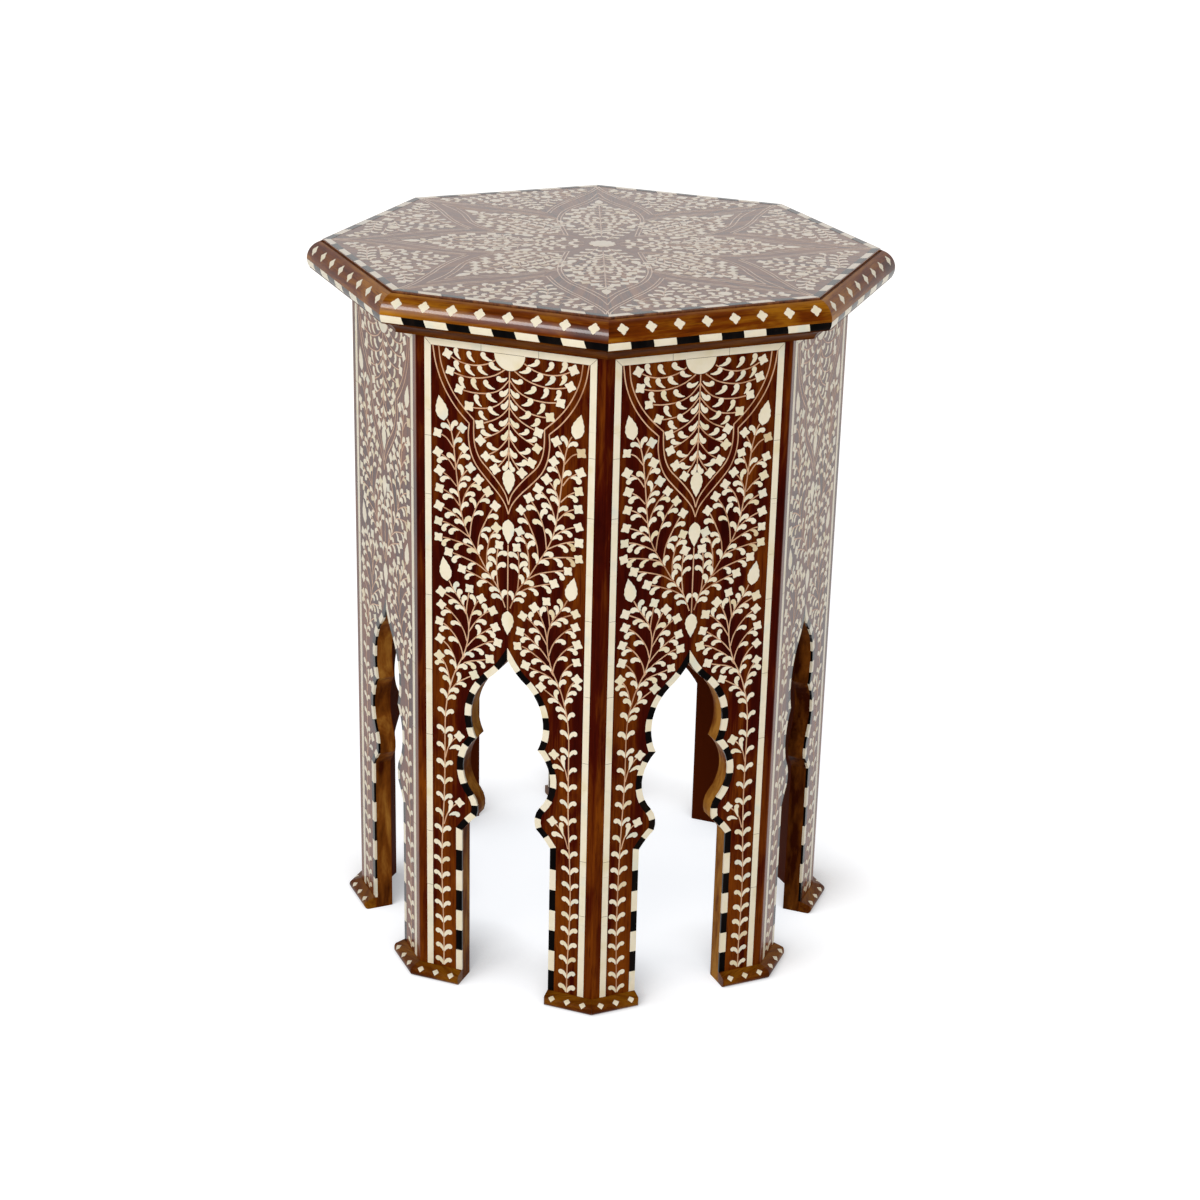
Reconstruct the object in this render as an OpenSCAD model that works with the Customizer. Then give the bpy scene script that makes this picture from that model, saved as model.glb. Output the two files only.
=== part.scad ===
// Octagonal side table in dark hardwood with bone and ebony inlay.
// Millimetres, +Z up. The origin is on the floor, under the middle of the top.
// Face 0 looks along +X. A piece's number counts the eight faces, or corners,
// anticlockwise seen from above.

/* [Whole table] */
// Height from the floor to the top surface
table_height = 610; // [450:1:760]
// Distance across the flat part of the top, side to side
top_flat_w = 429.4; // [400:0.2:520]
// Distance across the eight-sided base, face to face
base_w = 386; // [340:1:400]

/* [Top] */
// Height of the edge moulding with its striped band
edge_h = 23; // [20:0.5:30]
// Radius of the rounded nose of the edge moulding
nose_r = 15.6; // [14:0.1:18]
// Distance that the nose stands out from the flat top
nose_out = 12.3; // [10:0.1:14]
// Height of the middle of the nose above the underside of the top
nose_mid_h = 6.5; // [5:0.1:8]
// Width of the sunk line between the flat top and the moulding
quirk_w = 1.6; // [0.6:0.1:2]
// Depth of the sunk line
quirk_d = 2.6; // [1:0.1:4]
// Thickness of the frame with a hollow edge under the top board
cove_h = 10.6; // [8:0.2:18]
// Distance that the upper edge of the hollow lies inside the widest part of the top
cove_high_in = 2; // [1:0.5:6]
// Distance that the lower edge of the hollow lies inside the widest part of the top
cove_low_in = 15; // [9:0.5:18]
// Radius of the hollow
cove_r = 14; // [11:0.5:30]
// Thickness of the flat edges above and below the hollow
cove_lip = 1.2; // [0.6:0.1:2]
// Width of the frame inside the base, from the inner face of a panel
frame_in = 27; // [22:1:60]

/* [Base] */
// Thickness of a side panel
panel_t = 16; // [14:0.5:20]
// Radius of the eased upright corners
arris_r = 3; // [1:0.5:5]
// Height of the foot moulding
foot_h = 10.6; // [8:0.2:16]
// Distance that the foot moulding stands out from the leg
foot_out = 10.5; // [7:0.5:14]
// Radius of the rounded nose of the foot moulding
foot_nose_r = 4.4; // [3:0.1:5]
// Width of the flat lip on top of the foot moulding
foot_lip = 0.8; // [0.4:0.1:2]
// Radius of its outer edge at the ends next to the opening
foot_end_r = 2.6; // [1:0.1:4]

/* [Arch] */
// Height of the point of the arch
arch_apex_z = 309; // [280:1:330]
// Half width where the pointed head starts to swell
ogee_half_w = 17; // [12:0.5:22]
// Height where the pointed head starts to swell
ogee_z = 289; // [270:1:300]
// Half width at the upper cusp
cusp_half_w = 27.5; // [24:0.5:31]
// Height of the upper cusp
cusp_z = 233; // [220:1:245]
// Half width where the lobe runs into the lower nose
neck_half_w = 30; // [28:0.5:34]
// Height where the lobe runs into the lower nose
neck_z = 181; // [176:1:190]
// Half width under the lower nose
nose_half_w = 27; // [25:0.5:32]
// Height under the lower nose
nose_z = 161; // [154:1:166]
// Half of the clear width between the legs
leg_half_w = 40; // [36:0.5:46]
// Height where the straight legs start
leg_z = 145.5; // [125:0.5:150]
// Rise of the hollow beside the point
ogee_sag = -1.3; // [-3:0.1:-0.2]
// Rise of the swelling of the head
head_sag = 9.3; // [6:0.1:12]
// Rise of the lobe between the cusp and the nose
lobe_sag = 10.5; // [7:0.1:12]
// Rise of the lower nose
nose_sag = -2.6; // [-4:0.1:-1]
// Rise of the curve under the lower nose
heel_sag = 0.6; // [0.2:0.1:2]

/* [Inlay] */
// Thickness of the bone and ebony on the base and under the top
inlay_t = 2; // [1:0.1:3]
// Thickness of the bone and ebony let into the top board
top_inlay_t = 1.6; // [1:0.1:3]
// Height that the polished inlay stands above the top board
inlay_proud = 0.15; // [0.05:0.05:0.4]
// Hairline joint between two inlaid pieces
hairline = 0.15; // [0.05:0.05:0.4]
// Width of the striped band round the arch
arch_band_w = 5.5; // [4:0.1:7]
// Width of the bone strips that frame a panel
strip_w = 5.5; // [4:0.1:7]
// Plain wood between a corner and the upright strip
strip_margin = 7.5; // [5:0.5:9]
// Plain wood between the frame and the top strip
strip_top_gap = 6.6; // [0.5:0.1:9]
// Number of pieces in an upright strip
strip_pieces = 9; // [4:1:12]
// Height of the striped band at the foot of the edge moulding
edge_band_h = 6; // [4:0.2:8]
// Thickness of the striped band, inwards from the widest part of the moulding
edge_band_t = 3; // [2.5:0.5:5]
// Number of pieces of the striped band on one side of the top
edge_band_n = 10; // [6:2:14]
// Lean of the joints in the striped band of the edge moulding
band_lean = 0.8; // [0:0.1:3]
// Width of the striped border on the top
border_w = 5.5; // [4:0.1:7]
// Wood left outside the border
border_rim = 0.9; // [0.5:0.1:2]
// Lean of the joints in the border
border_lean = 1.4; // [0:0.1:3]
// Number of pieces of the striped border on one side. An odd number lets bone
// and ebony take turns all the way round
border_n = 9; // [5:2:13]
// Number of four-lobed pieces on one side of the top
lobed_n = 8; // [5:1:8]
// Distance of the outermost four-lobed pieces from the corner of the moulding
lobed_in = 12.9; // [10:0.1:17]
// Size of a four-lobed piece, tip to tip
lobed_size = 9.6; // [7:0.1:11]
// Lean of the four-lobed pieces from the vertical
lobed_tilt = 54; // [45:1:60]
// Size of a diamond on the foot moulding, tip to tip
diamond_size = 6; // [4:0.1:7]
// Number of diamonds on one side of a foot
diamond_n = 3; // [2:1:4]
// Radius of the bone half disc at the head of a panel
half_disc_r = 13; // [9:0.5:16]
// Length of a carved bud on a panel
bud_l = 21; // [15:0.5:25]
// Width of a carved bud on a panel
bud_w = 11; // [8:0.5:14]
// Number of teeth on one edge of a bud
bud_teeth = 5; // [3:1:8]
// Distance of the middle of the upper side buds from the upright strip
upper_bud_in = 8.9; // [7:0.1:14]
// Distance of the middle of the lower side buds from the upright strip
lower_bud_in = 11.9; // [8:0.1:16]
// Radius of the round flower in the middle of the top
middle_flower_r = 11.5; // [8:0.5:14]
// Radius of the two round flowers along each side of the top
side_flower_r = 5.8; // [4:0.1:7]
// Distance of those flowers from the edge of the flat top
side_flower_in = 34; // [28:0.5:40]
// Distance between the two flowers of one side
side_flower_apart = 49; // [40:1:60]
// Size of the four-lobed flower between them and the border
rosette_size = 12; // [9:0.5:14]
// Distance of that flower from the edge of the flat top
rosette_in = 17; // [14:0.5:18]
// Length of the buds that point to the corners of the top
tip_bud_l = 17; // [12:0.5:22]
// Width of those buds
tip_bud_w = 8; // [6:0.5:10]
// Distance of their points from the middle of the top
tip_bud_reach = 167.5; // [150:0.5:180]
// Length of the buds between the petals of the star on the top
inner_bud_l = 14; // [10:0.5:18]
// Distance of their points from the middle of the top
inner_bud_reach = 76; // [60:0.5:90]

/* [Inside] */
// Height of the battens under the top
batten_h = 22; // [16:1:30]
// Thickness of the battens
batten_t = 20; // [14:1:26]
// Length of the glue blocks in the corners
block_l = 215; // [100:5:230]
// Width of a glue block along each panel
block_w = 24; // [16:1:30]
// Thickness of a glue block, from the corner inwards
block_t = 20; // [12:1:30]
// Diameter of the screws
screw_d = 4; // [3:0.5:5]
// Diameter of a screw head
screw_head_d = 8; // [6:0.5:9]
// Height of the cone under a screw head
screw_head_h = 2.6; // [2:0.1:3.5]
// Depth of a screw in the top board
top_screw_bite = 14; // [8:1:18]
// Depth of a screw in a side panel
side_screw_bite = 10; // [6:0.5:13]
// Distance from the middle of a batten to its screws
side_screw_u = 40; // [20:1:55]
// Clearance round a screw
screw_clear = 0.1; // [0.05:0.05:0.3]

/* [Hidden] */
$fn = 64;

wood = "#5a2410";
wood_light = "#8a4f14";
wood_inside = "#7a4a20";
bone = "#eee6cd";
ebony = "#0e0a09";
steel = "#8c8c8c";

sides = 8;
turn = 360 / sides;
half_turn = turn / 2;
slope = tan(half_turn);

top_a = top_flat_w / 2;
base_a = base_w / 2;
panel_in_a = base_a - panel_t;
frame_in_a = panel_in_a - frame_in;
screw_hole_d = screw_d + 2 * screw_clear;
half_side = base_a * slope;
under_top = table_height - edge_h;
cove_bot = under_top - cove_h;
board_top = table_height - inlay_proud;
nose_a = top_a + nose_out - nose_r;
nose_h = under_top + nose_mid_h;
widest_a = top_a + nose_out;

strip_out = half_side - strip_margin;
strip_in = strip_out - strip_w;
strip_top = cove_bot - strip_top_gap;
strip_bot = strip_top - strip_w;

cut_over = 1;

function polar(r, angle) = [r * cos(angle), r * sin(angle)];

// Outlines in one upright plane, across and up

// Points of an arc from p to q that rises by sag to the left of the way,
// without q itself
function arc(p, q, sag, n) =
    let (across = q - p,
         chord = norm(across),
         ahead = across / chord,
         left = [-ahead[1], ahead[0]],
         r = (chord * chord / 4 + sag * sag) / (2 * sag),
         half_angle = asin(chord / 2 / r))
    [for (i = [0 : n - 1])
        let (angle = half_angle * (2 * i / n - 1))
        (p + q) / 2 + ahead * r * sin(angle) + left * (r * cos(angle) - r + sag)];

function straight(p, q, n) = [for (i = [0 : n - 1]) p + (q - p) * i / n];

// Number of striped pieces on each stretch of the arch, and of points on a piece
ogee_n = 2;
head_n = 6;
lobe_n = 5;
nose_n = 2;
heel_n = 2;
leg_n = 7;
curve_steps = 2;

arch_apex = [0, arch_apex_z];
arch_ogee = [ogee_half_w, ogee_z];
arch_cusp = [cusp_half_w, cusp_z];
arch_neck = [neck_half_w, neck_z];
arch_nose = [nose_half_w, nose_z];
arch_leg = [leg_half_w, leg_z];
arch_foot = [leg_half_w, foot_h];

half_arch = concat(
    arc(arch_apex, arch_ogee, ogee_sag, ogee_n * curve_steps),
    arc(arch_ogee, arch_cusp, head_sag, head_n * curve_steps),
    arc(arch_cusp, arch_neck, lobe_sag, lobe_n * curve_steps),
    arc(arch_neck, arch_nose, nose_sag, nose_n * curve_steps),
    arc(arch_nose, arch_leg, heel_sag, heel_n * curve_steps),
    straight(arch_leg, arch_foot, leg_n),
    [arch_foot]);

function flip(p) = [-p[0], p[1]];
function unit(v) = v / norm(v);
function left_of(v) = [-v[1], v[0]];

// The point beside point i of a path, at the same distance from both of its
// neighbouring lines. The path's first point mirrors to the other side.
function beside(path, i, d) =
    let (last = len(path) - 1,
         before = i > 0 ? path[i - 1] : flip(path[1]),
         after = i < last ? path[i + 1] : path[i] + path[i] - path[i - 1],
         n1 = left_of(unit(path[i] - before)),
         n2 = left_of(unit(after - path[i])),
         middle = unit(n1 + n2))
    path[i] + middle * d / (middle * n1);

half_band = [for (i = [0 : len(half_arch) - 1]) beside(half_arch, i, arch_band_w)];

function reversed(path) = [for (i = [len(path) - 1 : -1 : 0]) path[i]];
function mirrored(path) = [for (i = [len(path) - 1 : -1 : 1]) flip(path[i])];

// The whole outline, open at the bottom, from one foot over the point to the other
function whole(half) = concat(mirrored(half), half);

// First point of each striped piece in the half outline
curved_pieces = ogee_n + head_n + lobe_n + nose_n + heel_n;
piece_starts = concat(
    [for (i = [0 : curved_pieces]) i * curve_steps],
    [for (i = [1 : leg_n]) curved_pieces * curve_steps + i]);

// Outline of striped piece j of the right half, drawn in by half a hairline
// at both of its ends
function arch_piece(j) =
    let (first = piece_starts[j],
         last = piece_starts[j + 1],
         inner = [for (i = [first : last]) half_arch[i]],
         outer = [for (i = [first : last]) half_band[i]])
    trim_ends(inner, outer);

function trim_ends(inner, outer) =
    let (n = len(inner) - 1,
         step_in = hairline / 2 * unit(inner[1] - inner[0]),
         step_out = hairline / 2 * unit(outer[1] - outer[0]),
         end_in = hairline / 2 * unit(inner[n - 1] - inner[n]),
         end_out = hairline / 2 * unit(outer[n - 1] - outer[n]))
    concat(
        [inner[0] + step_in],
        [for (i = [1 : 1 : n - 1]) inner[i]],
        [inner[n] + end_in, outer[n] + end_out],
        [for (i = [n - 1 : -1 : 1]) outer[i]],
        [outer[0] + step_out]);

// Four-lobed outline with a point on each axis, and a plain diamond
notch_share = 0.65;
shoulder_share = 0.79;
shoulder_angle = 25;
diamond_side_share = 0.75;

module four_lobed(size) {
    lobe = [[0, 1], [shoulder_angle, shoulder_share], [45, notch_share],
            [90 - shoulder_angle, shoulder_share]];
    polygon([for (q = [0 : 3], p = lobe) polar(size / 2 * p[1], 90 * q + p[0])]);
}

module diamond(size) {
    polygon([for (q = [0 : 3], p = [[0, 1], [45, diamond_side_share]])
        polar(size / 2 * p[1], 90 * q + p[0])]);
}

// Bud with a round foot at the bottom, a point at the top and toothed edges.
// Its skew moves the widest part towards the foot.
tooth_depth = 0.5;
bud_skew = 0.72;

module bud_outline(length, width, teeth) {
    right = [for (i = [1 : 2 * teeth - 1])
        let (t = i / (2 * teeth), bite = i % 2 == 0 ? 0 : tooth_depth)
        [width / 2 * sin(180 * pow(t, bud_skew)) - bite * sin(180 * t), length * (t - 0.5)]];
    polygon(concat(
        [[0, -length / 2]], right, [[0, length / 2]],
        [for (i = [len(right) - 1 : -1 : 0]) flip(right[i])]));
}

// Round flower with scalloped petals: turn within a petal, in petals, and radius share
petal = [[-0.5, 0.84], [-0.28, 0.96], [0, 1], [0.28, 0.96]];

module round_flower(r, petals) {
    polygon([for (i = [0 : petals - 1], p = petal)
        polar(r * p[1], 360 / petals * (i + p[0]))]);
}

// Buds of one panel: across, height as a share of the way from the point of the
// arch to the top strip, and lean. The lean is to the left, and 180 points down.
upper_bud_u = strip_in - upper_bud_in;
lower_bud_u = strip_in - lower_bud_in;
bud_places = [
    [0, 0.595, 180], [0, 0.431, 180], [0, 0.125, 180],
    [upper_bud_u, 0.803, -12], [-upper_bud_u, 0.803, 12],
    [lower_bud_u, 0.274, -10], [-lower_bud_u, 0.274, 10]];

// Placing on a face

// Gives an outline, drawn across and up, the depth between two distances from
// the middle of the table on face k
module on_face(k, from_a, to_a) {
    rotate([0, 0, turn * k])
    translate([from_a, 0, 0])
    rotate([90, 0, 90])
    linear_extrude(to_a - from_a)
    children();
}

// Runs a profile, drawn outwards and up, along face k with mitred ends, which
// stay half a gap back from the mitre
module along_side(k, reach, gap = 0) {
    rotate([0, 0, turn * k])
    intersection() {
        rotate([90, 0, 0])
        linear_extrude(2 * reach * slope + 2 * cut_over, center = true)
        children();
        translate([gap / 2 / sin(half_turn), 0, 0])
        side_wedge(reach + cut_over);
    }
}

module side_wedge(reach) {
    linear_extrude(table_height + cut_over)
    polygon([[0, 0], [reach, -reach * slope], [reach, reach * slope]]);
}

module octagon(apothem) {
    rotate([0, 0, half_turn])
    circle(r = apothem / cos(half_turn), $fn = sides);
}

module ring(outer_a, inner_a) {
    difference() {
        octagon(outer_a);
        octagon(inner_a);
    }
}

// Top

module top_board() {
    color(wood)
    difference() {
        translate([0, 0, under_top])
        linear_extrude(board_top - under_top)
        octagon(top_a);

        translate([0, 0, table_height - top_inlay_t])
        linear_extrude(top_inlay_t + cut_over) {
            ring(top_a - border_rim, top_a - border_rim - border_w);
            top_flower_outlines();
            top_bud_outlines();
        }

        for (k = [0 : sides - 1])
            top_screw_place(k)
            cylinder(d = screw_hole_d, h = batten_h + cove_h + top_screw_bite + screw_clear);
    }
}

// Striped border: plan outline of piece i of one side of an octagonal ring
module leaning_piece(i, n, outer_a, inner_a) {
    u0 = -outer_a * slope;
    pitch = -2 * u0 / n;
    left = i == 0 ? 0 : 1;
    right = i == n - 1 ? 0 : 1;
    a = u0 + pitch * i + hairline / 2;
    b = u0 + pitch * (i + 1) - hairline / 2;
    shift = (outer_a - inner_a) * slope;
    a_in = left == 1 ? a - border_lean : a + shift;
    b_in = right == 1 ? b - border_lean : b - shift;
    polygon([
        [outer_a, a + left * border_lean], [outer_a, b + right * border_lean],
        [inner_a, b_in], [inner_a, a_in]]);
}

module top_border(parity) {
    translate([0, 0, table_height - top_inlay_t])
    linear_extrude(top_inlay_t)
    for (k = [0 : sides - 1], i = [(parity + k * border_n) % 2 : 2 : border_n - 1])
        rotate(turn * k)
        leaning_piece(i, border_n, top_a - border_rim, top_a - border_rim - border_w);
}

module top_border_bone() {
    color(bone)
    top_border(0);
}

module top_border_ebony() {
    color(ebony)
    top_border(1);
}

// Flowers and buds of the star: one flower in the middle, three along each side,
// a bud towards each corner and a smaller one towards each side
middle_petals = 12;
side_petals = 8;
tip_bud_teeth = 4;

module top_flower_outlines() {
    round_flower(middle_flower_r, middle_petals);
    for (k = [0 : sides - 1])
        rotate(turn * k) {
            for (side = [-1, 1])
                translate([top_a - side_flower_in, side * side_flower_apart / 2])
                round_flower(side_flower_r, side_petals);
            translate([top_a - rosette_in, 0])
            rotate(45)
            four_lobed(rosette_size);
        }
}

module top_bud_outlines() {
    for (k = [0 : sides - 1]) {
        rotate(turn * k + half_turn - 90)
        translate([0, tip_bud_reach - tip_bud_l / 2])
        bud_outline(tip_bud_l, tip_bud_w, tip_bud_teeth);
        rotate(turn * k - 90)
        translate([0, inner_bud_reach - inner_bud_l / 2])
        bud_outline(inner_bud_l, tip_bud_w, tip_bud_teeth);
    }
}

module top_flowers() {
    color(bone)
    translate([0, 0, table_height - top_inlay_t])
    linear_extrude(top_inlay_t)
    top_flower_outlines();
}

module top_buds() {
    color(bone)
    translate([0, 0, table_height - top_inlay_t])
    linear_extrude(top_inlay_t)
    top_bud_outlines();
}

// Edge moulding: outline outwards and up, with its striped band
module edge_profile() {
    difference() {
        intersection() {
            translate([nose_a, nose_h])
            circle(r = nose_r);
            translate([top_a, under_top])
            square([2 * nose_r, edge_h]);
        }
        translate([top_a - cut_over, table_height - quirk_d])
        square([quirk_w + cut_over, quirk_d]);
    }
}

module edge_band_profile() {
    intersection() {
        edge_profile();
        translate([widest_a - edge_band_t, under_top])
        square([edge_band_t + cut_over, edge_band_h]);
    }
}

// Cutter for four-lobed piece i of face k
module lobed_cutter(k, i) {
    reach = widest_a * slope - lobed_in;
    rotate([0, 0, turn * k])
    translate([nose_a, reach * (2 * i / (lobed_n - 1) - 1), nose_h])
    rotate([0, lobed_tilt, 0])
    translate([0, 0, nose_r - inlay_t])
    linear_extrude(inlay_t + cut_over)
    four_lobed(lobed_size);
}

module edge_moulding(k) {
    color(wood_light)
    difference() {
        along_side(k, widest_a)
        difference() {
            edge_profile();
            edge_band_profile();
        }
        for (i = [0 : lobed_n - 1])
            lobed_cutter(k, i);
    }
}

// Window across and up for piece i of the striped band of one side
module edge_band_window(k, i) {
    reach = widest_a * slope;
    pitch = 2 * reach / edge_band_n;
    a = -reach + pitch * i + hairline / 2;
    b = -reach + pitch * (i + 1) - hairline / 2;
    lean_a = i == 0 ? 0 : band_lean;
    lean_b = i == edge_band_n - 1 ? 0 : band_lean;
    top = under_top + edge_band_h;
    on_face(k, top_a, widest_a + cut_over)
    polygon([
        [a + lean_a, under_top], [b + lean_b, under_top],
        [b - lean_b, top], [a - lean_a, top]]);
}

module edge_band(parity) {
    for (k = [0 : sides - 1], i = [parity : 2 : edge_band_n - 1])
        intersection() {
            along_side(k, widest_a)
            edge_band_profile();
            edge_band_window(k, i);
        }
}

module edge_band_bone() {
    color(bone)
    edge_band(0);
}

module edge_band_ebony() {
    color(ebony)
    edge_band(1);
}

module edge_quatrefoils() {
    color(bone)
    for (k = [0 : sides - 1], i = [0 : lobed_n - 1])
        intersection() {
            along_side(k, widest_a)
            edge_profile();
            lobed_cutter(k, i);
        }
}

// Frame between the top board and the base: outline outwards and up
cove_steps = 8;

module cove_profile() {
    low = [widest_a - cove_low_in, cove_bot + cove_lip];
    high = [widest_a - cove_high_in, under_top - cove_lip];
    polygon(concat(
        [[frame_in_a, cove_bot], [low[0], cove_bot]],
        arc(low, high, cove_sag(norm(high - low)), cove_steps),
        [high, [high[0], under_top], [frame_in_a, under_top]]));
}

// Rise of the hollow over its chord
function cove_sag(chord) = cove_r - sqrt(cove_r * cove_r - chord * chord / 4);

module cove_frame(k) {
    color(wood_light)
    difference() {
        along_side(k, widest_a)
        cove_profile();
        top_screw_place(k)
        cylinder(d = screw_hole_d, h = batten_h + cove_h + cut_over);
    }
}

// Base

// Plan of a side panel with mitred edges and half of each eased corner
arris_steps = 4;

module panel_plan() {
    corner = [base_a - arris_r, (base_a - arris_r) * slope];
    arris = [for (i = [0 : arris_steps]) corner + polar(arris_r, half_turn * i / arris_steps)];
    inside = [panel_in_a, panel_in_a * slope];
    polygon(concat(
        arris, [inside, [inside[0], -inside[1]]],
        [for (p = reversed(arris)) [p[0], -p[1]]]));
}

module strip_frame() {
    difference() {
        translate([-strip_out, foot_h])
        square([2 * strip_out, strip_top - foot_h]);
        translate([-strip_in, foot_h - cut_over])
        square([2 * strip_in, strip_bot - foot_h + cut_over]);
    }
}

module half_disc() {
    intersection() {
        translate([0, strip_bot])
        circle(r = half_disc_r);
        translate([-half_disc_r, strip_bot - half_disc_r])
        square([2 * half_disc_r, half_disc_r]);
    }
}

module buds() {
    for (b = bud_places)
        translate([b[0], arch_apex_z + b[1] * (strip_bot - arch_apex_z)])
        rotate(b[2])
        bud_outline(bud_l, bud_w, bud_teeth);
}

module side_panel(k) {
    color(wood)
    difference() {
        rotate([0, 0, turn * k])
        linear_extrude(cove_bot)
        panel_plan();

        on_face(k, panel_in_a - cut_over, base_a + cut_over)
        polygon(concat([[-leg_half_w, -cut_over]], whole(half_arch), [[leg_half_w, -cut_over]]));

        on_face(k, base_a - inlay_t, base_a + cut_over)
        polygon(whole(half_band));

        on_face(k, base_a - inlay_t, base_a + cut_over)
        strip_frame();

        on_face(k, base_a - inlay_t, base_a + cut_over)
        half_disc();

        on_face(k, base_a - inlay_t, base_a + cut_over)
        buds();

        for (side = [-1, 1])
            side_screw_place(k, side)
            cylinder(d = screw_hole_d, h = batten_t + side_screw_bite + screw_clear);
    }
}

// Height of joint j of an upright strip: the pieces differ a little in length,
// in a sequence that does not repeat
joint_wander = 0.16;
golden_turn = 137.5;

function strip_joint(j) =
    let (wander = j == 0 || j == strip_pieces ? 0 : joint_wander * sin(golden_turn * j))
    foot_h + (strip_top - foot_h) * (j + wander) / strip_pieces;

module strip_piece(j) {
    mitred = j == strip_pieces - 1;
    low = strip_joint(j) + (j == 0 ? 0 : hairline / 2);
    high = strip_joint(j + 1) - (mitred ? hairline : hairline / 2);
    polygon([
        [strip_in, low], [strip_out, low],
        [strip_out, high], [strip_in, high - (mitred ? strip_w : 0)]]);
}

// The strip over the head of a panel is in three pieces
head_pieces = 3;

module head_strip_piece(j) {
    pitch = 2 * strip_out / head_pieces;
    a = -strip_out + pitch * j;
    b = a + pitch;
    left = j == 0 ? strip_w : hairline / 2;
    right = j == head_pieces - 1 ? strip_w : hairline / 2;
    low_a = a + left;
    low_b = b - right;
    high_a = j == 0 ? a : low_a;
    high_b = j == head_pieces - 1 ? b : low_b;
    polygon([[low_a, strip_bot], [low_b, strip_bot], [high_b, strip_top], [high_a, strip_top]]);
}

module panel_strips() {
    color(bone)
    for (k = [0 : sides - 1])
        on_face(k, base_a - inlay_t, base_a) {
            for (j = [0 : strip_pieces - 1]) {
                strip_piece(j);
                mirror([1, 0])
                strip_piece(j);
            }
            for (j = [0 : head_pieces - 1])
                head_strip_piece(j);
        }
}

module arch_band(parity) {
    for (k = [0 : sides - 1], j = [0 : len(piece_starts) - 2])
        on_face(k, base_a - inlay_t, base_a) {
            if (j % 2 == parity)
                polygon(arch_piece(j));
            else
                polygon([for (p = arch_piece(j)) flip(p)]);
        }
}

module arch_band_bone() {
    color(bone)
    arch_band(0);
}

module arch_band_ebony() {
    color(ebony)
    arch_band(1);
}

module panel_half_discs() {
    color(bone)
    for (k = [0 : sides - 1])
        on_face(k, base_a - inlay_t, base_a)
        half_disc();
}

module panel_buds() {
    color(bone)
    for (k = [0 : sides - 1])
        on_face(k, base_a - inlay_t, base_a)
        buds();
}

// Foot moulding: outline outwards from the leg and up. A slope runs from its top
// edge down to the rounded nose, and touches it where the nose leans by foot_lean.
foot_nose = [base_a + foot_out - foot_nose_r, foot_nose_r];
foot_edge = [base_a + foot_lip, foot_h];
foot_way = foot_edge - foot_nose;
foot_lean = atan2(foot_way[1], foot_way[0]) - acos(foot_nose_r / norm(foot_way));

module foot_profile() {
    intersection() {
        union() {
            translate(foot_nose)
            circle(r = foot_nose_r);
            polygon([
                [base_a, 0], [foot_nose[0], 0], foot_nose,
                foot_nose + polar(foot_nose_r, foot_lean),
                foot_edge, [base_a, foot_h]]);
        }
        translate([base_a, 0])
        square([foot_out, foot_h]);
    }
}

// Room of a foot moulding seen from above, outwards and to the right
module foot_plan() {
    translate([base_a, leg_half_w])
    square([foot_out - foot_end_r, half_side]);
    translate([base_a, leg_half_w + foot_end_r])
    square([foot_out + cut_over, half_side]);
    translate([base_a + foot_out - foot_end_r, leg_half_w + foot_end_r])
    circle(r = foot_end_r);
}

// The half of a foot moulding on face k, to the right (side 1) or left (side -1)
module foot_half(k, side) {
    intersection() {
        along_side(k, base_a + foot_out, hairline)
        foot_profile();
        rotate([0, 0, turn * k])
        scale([1, side, 1])
        linear_extrude(foot_h)
        foot_plan();
    }
}

// Cutter for diamond i of one side of a foot, square to the nose where it leans
// by diamond_lean
diamond_lean = 58;

module diamond_cutter(k, side, i) {
    first = leg_half_w;
    last = half_side + foot_out / 2 * slope;
    u = first + (last - first) * (i + 0.5) / diamond_n;
    rotate([0, 0, turn * k])
    translate([foot_nose[0], side * u, foot_nose[1]])
    rotate([0, 90 - diamond_lean, 0])
    translate([0, 0, foot_nose_r - inlay_t])
    linear_extrude(inlay_t + cut_over)
    diamond(diamond_size);
}

module foot_moulding(k) {
    color(wood_light) {
        difference() {
            foot_half(k, 1);
            for (i = [0 : diamond_n - 1])
                diamond_cutter(k, 1, i);
        }
        difference() {
            foot_half(k + 1, -1);
            for (i = [0 : diamond_n - 1])
                diamond_cutter(k + 1, -1, i);
        }
    }
}

module foot_diamonds() {
    color(bone)
    for (k = [0 : sides - 1], side = [-1, 1], i = [0 : diamond_n - 1])
        intersection() {
            foot_half(k, side);
            diamond_cutter(k, side, i);
        }
}

// Inside

module top_screw_place(k) {
    rotate([0, 0, turn * k])
    translate([panel_in_a - batten_t / 2, 0, cove_bot - batten_h])
    children();
}

module side_screw_place(k, side) {
    rotate([0, 0, turn * k])
    translate([panel_in_a - batten_t, side * side_screw_u, cove_bot - batten_h / 2])
    rotate([0, 90, 0])
    children();
}

module top_batten(k) {
    color(wood_inside)
    difference() {
        rotate([0, 0, turn * k])
        intersection() {
            translate([panel_in_a - batten_t, -half_side, cove_bot - batten_h])
            cube([batten_t, 2 * half_side, batten_h]);
            side_wedge(base_a);
        }
        top_screw_place(k)
        screw_hole(batten_h);
        for (side = [-1, 1])
            side_screw_place(k, side)
            screw_hole(batten_t);
    }
}

// Hole for a countersunk screw through a piece of a given thickness
module screw_hole(through) {
    translate([0, 0, -cut_over])
    cylinder(d = screw_hole_d, h = through + 2 * cut_over);
    cylinder(d1 = screw_head_d, d2 = screw_d, h = screw_head_h);
}

module screw(through, bite) {
    cylinder(d1 = screw_head_d, d2 = screw_d, h = screw_head_h);
    cylinder(d = screw_d, h = through + bite);
}

module corner_blocks() {
    color(wood_inside)
    for (k = [0 : sides - 1])
        rotate([0, 0, turn * k + half_turn])
        translate([0, 0, cove_bot - batten_h - block_l])
        linear_extrude(block_l)
        block_plan();
}

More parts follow.
